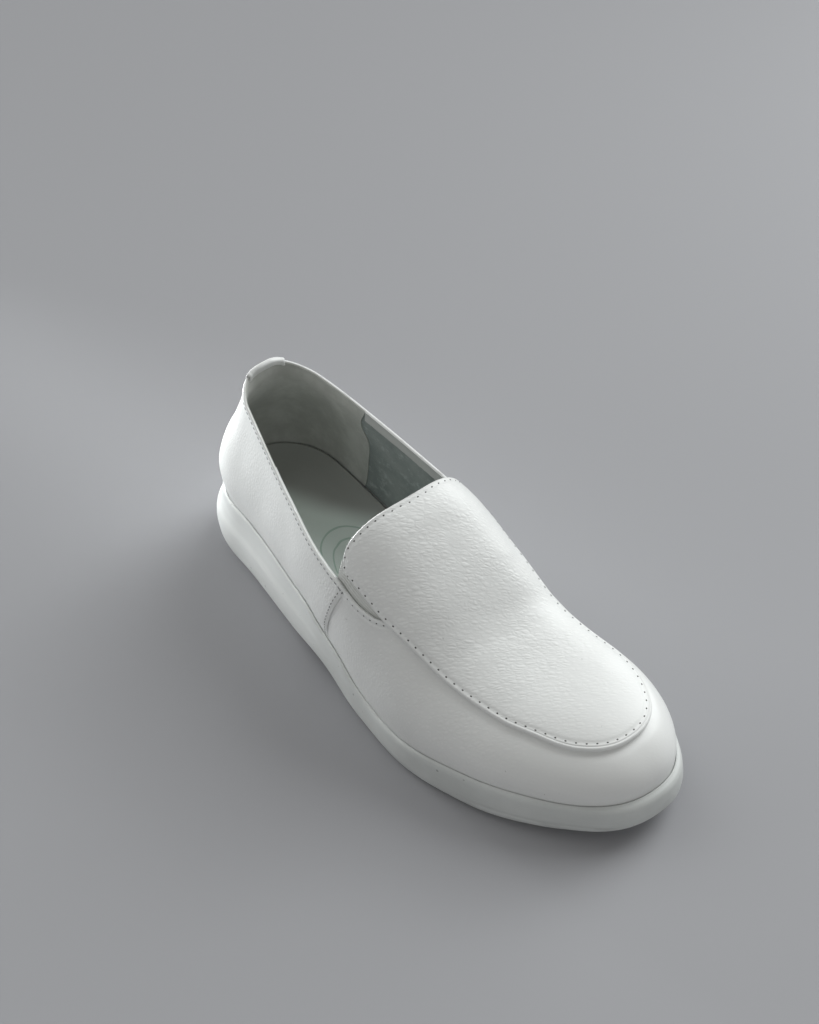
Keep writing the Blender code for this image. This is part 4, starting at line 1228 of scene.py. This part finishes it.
def make_linings(suede, felt):
    sheet = lining_sheet(lambda s: -counter_side(s), counter_side, LINING_TOP_SHARE)
    add_sheet("heel_lining", *sheet, suede, "insole_lining", ["upper"])
    sides = (("lateral", lambda s: counter_side(s) - 0.02, lambda s: s * 0 + 1.0),
             ("medial", lambda s: s * 0 - 1.0, lambda s: -(counter_side(s) - 0.02)))
    for name, start, end in sides:
        sheet = lining_sheet(start, end, SIDE_LINING_TOP_SHARE, SIDE_LINING)
        add_sheet("side_lining_" + name, *sheet, felt, "insole_lining", ["upper"])


def make_facing(finish):
    """Light strip inside the collar's edge, from the heel's lining to the gore, dressed in a darker
    leather that paints its shade.
    """
    columns, rows = 160, 16
    from_heel = np.linspace(float(counter_side(np.array(1.0))), 1.0, columns)
    for name, side in (("lateral", from_heel), ("medial", -from_heel[::-1])):
        turn, top = quarter_place(side, 1.0)
        down = np.linspace(FACING_WIDTH, 0.0, rows)[:, None]
        rise = top[None] - down / climb_rate(turn, top)[None]
        base, normal = skin(np.broadcast_to(turn, rise.shape), rise)
        rounding = folded(distance_to(base.reshape(-1, 3), base[0]), 0.0003, 0.0005)
        base = base.reshape(-1, 3)
        normal = normal.reshape(-1, 3)
        thin = ease(np.broadcast_to(down, rise.shape).reshape(-1), COLLAR_THIN_REACH, 0.0)
        outer = base - normal * (LINING_DEPTH * (1 - thin))[:, None]
        inner = base - normal * (FACING_DEPTH + rounding - (COLLAR_THIN + 0.0003) * thin)[:, None]
        add_sheet("facing_" + name, outer, inner, grid_faces(rows, columns), finish, "white_leather",
                  ["upper"], {"pebble": np.full(len(base), 0.15)})


def make_front_lining(finish):
    """Lining under the vamp and the apron, up to the throat."""
    columns, rows = 161, 60
    grid_u, grid_s = np.meshgrid(np.linspace(-1, 1, columns), np.linspace(0, 1, rows))
    back = seam_share(0.0) + (THROAT_SHARE + 0.006 - seam_share(0.0)) * ease(grid_s, 0.0, 0.6)
    turn = pi - (pi - turn_of(back)) * np.abs(grid_u)
    base, normal = skin(np.where(grid_u < 0, turn, 2 * pi - turn), 0.04 + 0.96 * grid_s)
    base = base.reshape(-1, 3)
    normal = normal.reshape(-1, 3)
    outer = base - normal * FRONT_LINING_DEPTH
    inner = base - normal * WALL
    faces = grid_faces(rows, columns)
    add_sheet("front_lining", outer, inner, faces, finish, "insole_lining", ["upper"])


def make_heel_tab(finish):
    """Strip folded over the collar at the back of the heel, with soft corners."""
    turns = np.linspace(0, 0.8, 200)
    edge = upper_point(turns, rise_at_height(turns, collar_height(turns)))
    reach = reach_along(edge)
    last = np.interp(TAB_WIDTH / 2, reach, turns)
    turn = np.linspace(-last, last, 61)
    height = collar_height(turn)
    top = rise_at_height(turn, height)
    outside = QUARTER_STEP + 0.0001
    within = -LINING_DEPTH - LINING + COLLAR_THIN - 0.0001

    def strip(drop, out, lift=0.0):
        rise = rise_at_height(turn, height - drop)
        way = outward(turn, rise)
        up = unit(upper_point(turn, rise + 1e-3) - upper_point(turn, rise - 1e-3))
        return upper_point(turn, rise) + way * out + up * lift

    rows = []
    for drop in np.linspace(TAB_OUTSIDE, 0.0004, 26):
        rows.append(strip(drop, outside))
    bend = (outside - within) / 2
    for angle in np.linspace(0, pi, 13)[1:-1]:
        out = (outside + within) / 2 + bend * cos(angle)
        rows.append(strip(0.0, out, 0.0002 + bend * sin(angle) * 0.8))
    for drop in np.linspace(0.0004, TAB_INSIDE, 24):
        under_lining = TAB_TUCK * ease(drop, TAB_SHOWN, TAB_SHOWN + 0.0014)
        thin = COLLAR_THIN * ease(drop, 0.0, COLLAR_THIN_REACH)
        rows.append(strip(drop, within - thin + under_lining))
    rows = np.array(rows)
    base = rows.reshape(-1, 3)
    up_way = np.gradient(rows, axis=0)
    side_way = np.gradient(rows, axis=1)
    normal = unit(np.cross(side_way, up_way)).reshape(-1, 3)
    away = distance_to(base, rows[0], rows[-1], rows[:, 0], rows[:, -1])
    detail = TAB_THICKNESS * TAB_BODY_SHARE + folded(away, 0.0005, 0.0009) + groove(away, *TAB_GROOVE)
    outer = base + normal * detail[:, None]
    return add_sheet("heel_tab", outer, base, grid_faces(len(rows), len(turn)), finish, "white_leather",
                     ["back_tab"], {"pebble": np.full(len(base), 0.3)}, sharp=70)


# Footbed
def closed_rings(rows):
    """Faces between closed rings of points, and caps across the first and the last."""
    count = rows.shape[1]
    faces = []
    for row in range(len(rows) - 1):
        for i in range(count):
            j = (i + 1) % count
            low = row * count
            faces.append((low + i, low + j, low + count + j, low + count + i))
    half = count // 2
    top = (len(rows) - 1) * count
    for i in range(half):
        ends = [i, i + 1, (count - i - 1) % count, (count - i) % count]
        face = [c for n, c in enumerate(ends) if c not in ends[:n]]
        if len(face) > 2:
            faces.append(tuple(face[::-1]))
            faces.append(tuple(top + c for c in face))
    return faces


def make_footbed(finish):
    """Footbed with a turned-up, rounded rim."""
    turns = np.linspace(0, 2 * pi, FOOTBED_COLUMNS, endpoint=False)
    along = along_of(turns)
    edge = lip_inset(along) + (WALL + FIT_GAP)
    floor = sole_top(along) - CUP_DEPTH + FIT_GAP
    top = INSOLE_THICKNESS + INSOLE_CUP
    rows = []

    def add_row(inset, lift):
        x, y, _, _ = outline(turns, -(edge + inset))
        rows.append(np.stack([x, y, floor + lift], -1))

    add_row(0.0, 0.0)
    add_row(0.0, top - INSOLE_ROUND)
    for angle in np.linspace(0, pi / 2, 5)[1:]:
        add_row(INSOLE_ROUND * (1 - cos(angle)), top - INSOLE_ROUND * (1 - sin(angle)))
    for t in np.linspace(0, 1, 26)[1:]:
        add_row(INSOLE_ROUND + INSOLE_EDGE * t, INSOLE_THICKNESS + INSOLE_CUP * (1 - t) ** 2)
    rows = np.array(rows)
    faces = closed_rings(rows)
    return add_piece("footbed", rows.reshape(-1, 3), faces, finish, ["insole"], 50)


# Sole
def side_depth(along, front, heel, back, tip):
    """How far the sole's side lies inside its outline, from the four reliefs at one height."""
    relief = front + (heel - front) * ease(along, *HEEL_SIDE_SHARES) + back * ease(along, *BACK_SHARES)
    return (relief + tip * ease(along, *SOLE_TIP_SHARES)) * SIDE_DEPTH


def make_sole(finish):
    """Cup sole: bulged heel side, crease, parting line, rounded rims."""
    reliefs = [curve(STEPS, {name: 1.0}, "height") for name in ("front", "heel", "back", "tip")]
    turns = np.linspace(0, 2 * pi, SOLE_COLUMNS, endpoint=False)
    along = along_of(turns)
    low = sole_bottom(along)
    top = sole_top(along)
    toe_line = ease(along, 0.70, 0.86)
    heel_line = ease(along, 0.36, 0.16)
    rows = []
    dirt = []

    def add_row(inset, height, soil):
        x, y, _, _ = outline(turns, -inset)
        rows.append(np.stack([x, y, height], -1))
        dirt.append(np.broadcast_to(soil, turns.shape))

    for share in (1 - np.cos(np.linspace(0, pi, SIDE_STEPS))) / 2:
        depth = side_depth(along, *(relief(share) for relief in reliefs))
        depth = depth - groove(share, *PARTING_LINE) * toe_line
        depth = depth - groove(share, *SOLE_CREASE) * heel_line
        soil = np.exp(-(share / 0.16) ** 2) * 0.8 + 0.06
        soil = soil + 0.35 * np.exp(-((share - PARTING_LINE.middle) / 0.06) ** 2) * toe_line
        add_row(depth, low + (top - low) * share, soil)
    inner = lip_inset(along) - FIT_GAP
    outer_top = side_depth(along, *(relief(1.0) for relief in reliefs))
    for t in (0.25, 0.5, 0.75, 1.0):
        add_row(outer_top + (inner - outer_top) * t, top + 0.0003 * np.sin(pi * t), 0.3)
    for drop in (0.001, CUP_DEPTH):
        add_row(inner, top - drop, 0.5)
    rows = np.array(rows)
    return add_piece("cup_sole", rows.reshape(-1, 3), closed_rings(rows), finish,
                     ["outsole"], 50, {"dirt": np.concatenate(dirt)})


def window_loop(window, out=0.0, count=150):
    """Smooth loop of points round a tread window, moved outwards."""
    loop = window()
    closed = np.concatenate([loop, loop[:1]])
    reach = reach_along(closed)
    loop = at_reach(closed, reach, np.linspace(0, reach[-1], count, endpoint=False))
    tangent = unit(np.roll(loop, -1, axis=0) - np.roll(loop, 1, axis=0))
    return loop + np.stack([tangent[:, 1], -tangent[:, 0]], -1) * out


def corner_cut(distance):
    left = np.clip(WINDOW_CORNER - distance, 0, WINDOW_CORNER)
    return WINDOW_CORNER - np.sqrt(WINDOW_CORNER ** 2 - left ** 2)


def heel_window():
    round_part = HEEL_WINDOW_LENGTH * HEEL_WINDOW_ROUND_SHARE
    x = HEEL_WINDOW_LENGTH * (1 - np.cos(np.linspace(0, pi, 120))) / 2
    start = np.clip(1 - x / round_part, 0, 1)
    half = HEEL_WINDOW_WIDTH / 2 * (1 - start ** WINDOW_POWER) ** (1 / WINDOW_POWER)
    half = half - corner_cut(HEEL_WINDOW_LENGTH - x)
    x = x + HEEL_WINDOW_START
    middle = centre(x / SOLE_LENGTH)
    return np.concatenate([np.stack([x, middle - half], -1), np.stack([x, middle + half], -1)[::-1]])


def forefoot_window():
    start = FOREFOOT_WINDOW_START
    end = 1 - 1e-4
    shares = along_of(np.linspace(turn_of(start / SOLE_LENGTH), turn_of(end), 160))
    sides = []
    for lateral in (True, False):
        x, y, _, _ = outline(turns_at(shares, np.full(len(shares), lateral)), -FOREFOOT_WINDOW_MARGIN)
        sign = -1 if lateral else 1
        x = start + (x - x[0]) * (SOLE_LENGTH - FOREFOOT_WINDOW_MARGIN - start) / (x[-1] - x[0])
        y = y - sign * corner_cut(x - start)
        sides.append(np.stack([x, y], -1))
    return np.concatenate([sides[0], sides[1][::-1]])


def prism(name, loop, low, high):
    """Closed upright solid from a loop; low and high are height functions of the place along."""
    count = len(loop)
    shares = loop[:, 0] / SOLE_LENGTH
    points = [np.column_stack([loop, height(shares)]) for height in (low, high)]
    faces = [(i, (i + 1) % count, count + (i + 1) % count, count + i) for i in range(count)]
    faces += [tuple(range(count))[::-1], tuple(range(count, 2 * count))]
    return plain_piece(name, np.concatenate(points), faces)


def level(height, over_sole=True):
    """Height function of a prism's end: a height above the sole's underside, or a plain height."""
    return lambda along: height + (sole_bottom(along) if over_sole else along * 0)


def boolean(target, cutter, operation):
    """Applies a boolean and removes the cutter."""
    step = target.modifiers.new("cut", "BOOLEAN")
    step.operation = operation
    step.object = cutter
    step.solver = "EXACT"
    bpy.context.view_layer.update()
    graph = bpy.context.evaluated_depsgraph_get()
    result = bpy.data.meshes.new_from_object(target.evaluated_get(graph), depsgraph=graph)
    target.modifiers.clear()
    target.data = result
    bpy.data.objects.remove(cutter, do_unlink=True)


def mark_under(made):
    """Gives the finish the share of a face that looks down."""
    normals = np.empty(len(made.data.vertices) * 3, np.float32)
    made.data.vertex_normals.foreach_get("vector", normals)
    mark(made, "under", np.clip(-normals.reshape(-1, 3)[:, 2] * 1.4, 0, 1))


def make_lip(name, window, finish, node):
    """Raised lip round a tread pad, sloped towards it."""
    outs = (-FIT_GAP, -FIT_GAP, -0.0006, -0.0011, -FRAME_WIDTH + 0.0005, -FRAME_WIDTH, -FRAME_WIDTH)
    heights = (WINDOW_DEPTH - FIT_GAP, 0.0003, 0.0, 0.0001, 0.0009, 0.0012, WINDOW_DEPTH - FIT_GAP)
    rings = []
    for out, height in zip(outs, heights):
        loop = window_loop(window, out, 240)
        rings.append(np.column_stack([loop, height + sole_bottom(loop[:, 0] / SOLE_LENGTH)]))
    count = len(rings[0])
    faces = []
    for row in range(len(rings)):
        low = row * count
        high = (row + 1) % len(rings) * count
        for i in range(count):
            j = (i + 1) % count
            faces.append((low + i, high + i, high + j, low + j))
    return add_piece(name, np.concatenate(rings), faces, finish, [node], 50)


def inside(loop, x, y):
    hits = 0
    for a, b in zip(loop, np.roll(loop, -1, axis=0)):
        if (a[1] > y) != (b[1] > y) and x < a[0] + (y - a[1]) / (b[1] - a[1]) * (b[0] - a[0]):
            hits += 1
    return hits % 2 == 1


def lug_mesh(places):
    """Points and faces of three-lobed lugs with bevelled faces, under the pad's face."""
    angle = np.arange(LUG_SIDES) * 2 * pi / LUG_SIDES
    lobes = (LUG_ROW - LUG_GROOVE) / 2 * (LUG_SIZE_SHARE * LUG_FILL + LUG_LOBES * np.cos(3 * angle))
    points = []
    faces = []
    for x, y in places:
        start = len(points)
        for down, size in LUG_LEVELS:
            for a, reach in zip(angle, lobes):
                px = x + reach * size * cos(a)
                height = PAD_FACE - down + float(sole_bottom(px / SOLE_LENGTH))
                points.append((px, y + reach * size * sin(a), height))
        last = start + (len(LUG_LEVELS) - 1) * LUG_SIDES
        for low in range(start, last, LUG_SIDES):
            for i in range(LUG_SIDES):
                j = (i + 1) % LUG_SIDES
                faces.append((low + j, low + i, low + LUG_SIDES + i, low + LUG_SIDES + j))
        faces.append(tuple(range(start, start + LUG_SIDES)))
        faces.append(tuple(range(last, last + LUG_SIDES))[::-1])
    return points, faces


def make_pad(name, window, finish, node):
    """Rubber pad with rows of three-lobed lugs and a rim as high as they are."""
    edge = -FRAME_WIDTH - FIT_GAP
    loop = window_loop(window, edge)
    made = prism(name, loop, level(PAD_FACE), level(WINDOW_DEPTH - FIT_GAP))
    low, high = loop.min(axis=0), loop.max(axis=0)
    keep = window_loop(window, edge + LUG_ROW / 4)
    places = []
    rows = int((high[1] - low[1]) / LUG_ROW / 2) + 2
    for row in range(-rows, rows):
        y = (low[1] + high[1]) / 2 + (row + 0.5) * LUG_ROW
        first = low[0] + LUG_PITCH * LUG_FIRST_SHARES[row % 2]
        for number in range(int((high[0] - low[0]) / LUG_PITCH) + 1):
            x = first + number * LUG_PITCH
            if inside(keep, x, y):
                places.append((x, y))
    lugs = plain_piece(name + "_lugs", *lug_mesh(places))
    through = level(-0.01, False), level(0.02, False)
    boolean(lugs, prism(name + "_clip", window_loop(window, edge - PAD_RIM / 2), *through), "INTERSECT")
    rim = prism(name + "_rim", window_loop(window, edge - 0.0001), level(PAD_FACE - LUG_HEIGHT),
                level(PAD_FACE + 0.0002))
    boolean(rim, prism(name + "_bore", window_loop(window, edge - PAD_RIM), *through), "DIFFERENCE")
    boolean(lugs, rim, "UNION")
    boolean(made, lugs, "UNION")
    return dress(made, finish, [node], 28)


# Floor, lights and camera
def make_stage():
    half = FLOOR_HALF
    mesh = bpy.data.meshes.new("floor")
    corners = [(-half, -half, 0), (half, -half, 0), (half, half, 0), (-half, half, 0)]
    mesh.from_pydata(corners, [], [(0, 1, 2, 3)])
    mesh.materials.append(Finish("floor", FLOOR_COLOUR, 0.9).made)
    floor = link("floor", mesh)
    floor.location.z = -0.0002

    world = bpy.data.worlds.new("studio")
    world.use_nodes = True
    background = world.node_tree.nodes["Background"]
    background.inputs[0].default_value = (*WORLD_COLOUR, 1)
    background.inputs[1].default_value = WORLD_STRENGTH
    bpy.context.scene.world = world
    for sun in SUNS:
        light = bpy.data.lights.new(sun.name, "SUN")
        light.energy = sun.strength
        light.angle = radians(sun.spread)
        hang(light, direction(sun.azimuth, sun.elevation), Vector((0, 0, 1)))
    for box in BOXES:
        light = bpy.data.lights.new(box.name, "AREA")
        light.energy = box.power
        light.size = box.size
        light.spread = radians(box.spread)
        way = direction(box.azimuth, box.elevation)
        hang(light, way, Vector(box.aim) + way * box.distance)


def direction(azimuth, elevation):
    """Unit vector towards a place; azimuth 0 is the shoe's outer side, 90 its toe."""
    az, el = radians(azimuth), radians(elevation)
    return Vector((sin(az) * cos(el), -cos(az) * cos(el), sin(el)))


def hang(light, way, place):
    light.color = LIGHT_COLOUR
    made = link(light.name, light)
    made.location = place
    made.rotation_euler = way.to_track_quat("Z", "Y").to_euler()


def make_camera():
    """Camera at the photograph's angle, on the line through its aim point."""
    azimuth, roll = radians(CAMERA_AZIMUTH), radians(CAMERA_ROLL)
    back = direction(CAMERA_AZIMUTH, CAMERA_ELEVATION)
    right = Vector((cos(azimuth), sin(azimuth), 0))
    up = back.cross(right)
    x = right * cos(roll) + up * sin(roll)
    y = up * cos(roll) - right * sin(roll)
    camera = bpy.data.cameras.new("camera")
    camera.lens = CAMERA_LENS
    camera.sensor_width = 36.0
    camera.sensor_fit = "AUTO"
    made = link("camera", camera)
    place = Vector(CAMERA_AIM) + Vector(SHIFT) + back * CAMERA_DISTANCE
    made.matrix_world = Matrix.Translation(place) @ Matrix((x, y, back)).transposed().to_4x4()
    bpy.context.scene.camera = made


def sole_middle():
    """Middle of the sole's box, seen from above."""
    turns = np.linspace(0, 2 * pi, 2000)
    along = along_of(turns)
    points = []
    for step in STEPS:
        x, y, _, _ = outline(turns, -side_depth(along, step.front, step.heel, step.back, step.tip))
        points.append(np.stack([x, y], -1))
    points = np.concatenate(points)
    return (points.min(axis=0) + points.max(axis=0)) / 2


SHIFT = (*(-sole_middle()).tolist(), 0.0)


def main():
    bpy.context.scene.view_settings.view_transform = "Standard"
    make_camera()
    make_stage()
    leather = leather_finish("white_leather", (0.83, 0.84, 0.83))
    rubber = rubber_finish()
    grey = lip_finish()
    sole = make_sole(sole_finish())
    for name, window in (("heel", heel_window), ("forefoot", forefoot_window)):
        cutter = prism(name + "_cutter", window_loop(window), level(-0.01, False), level(WINDOW_DEPTH))
        boolean(sole, cutter, "DIFFERENCE")
        make_lip(name + "_lip", window, grey, name + "_pad_frame")
        make_pad(name + "_pad", window, rubber, name + "_tread_pad")
    mark_under(sole)
    make_footbed(insole_finish())
    quarter = make_quarter(leather)
    vamp = make_vamp(leather)
    apron = make_apron(leather)
    elastic = elastic_finish()
    make_gore("gore_lateral", True, elastic)
    make_gore("gore_medial", False, elastic)
    suede = suede_finish("suede_lining", (0.50, 0.51, 0.48), (0.64, 0.65, 0.62))
    felt = suede_finish("felt_lining", (0.26, 0.30, 0.30), (0.37, 0.41, 0.40), 0.9)
    make_linings(suede, felt)
    # painted shade: the facing wears a darker copy of the white leather, for the strip that faces away
    # from the lamps
    make_facing(leather_finish("facing_leather_painted_shade", (0.60, 0.61, 0.60)))
    make_front_lining(suede)
    make_heel_tab(leather)
    # painted shade: near-black beads stand in for the shade inside the stitch holes
    hole_shade = speckled_finish("stitch_hole_painted_shade", (0.05, 0.05, 0.05), 0.9, 1200, 1, (0.035, 0.035, 0.034),
                           (0.075, 0.075, 0.073))
    thread = speckled_finish("grey_thread", (0.24, 0.25, 0.25), 0.7, 900, 2, (0.18, 0.1875, 0.1875),
                             (0.24, 0.25, 0.25))
    make_stitches(apron, quarter, vamp, hole_shade, thread)


main()
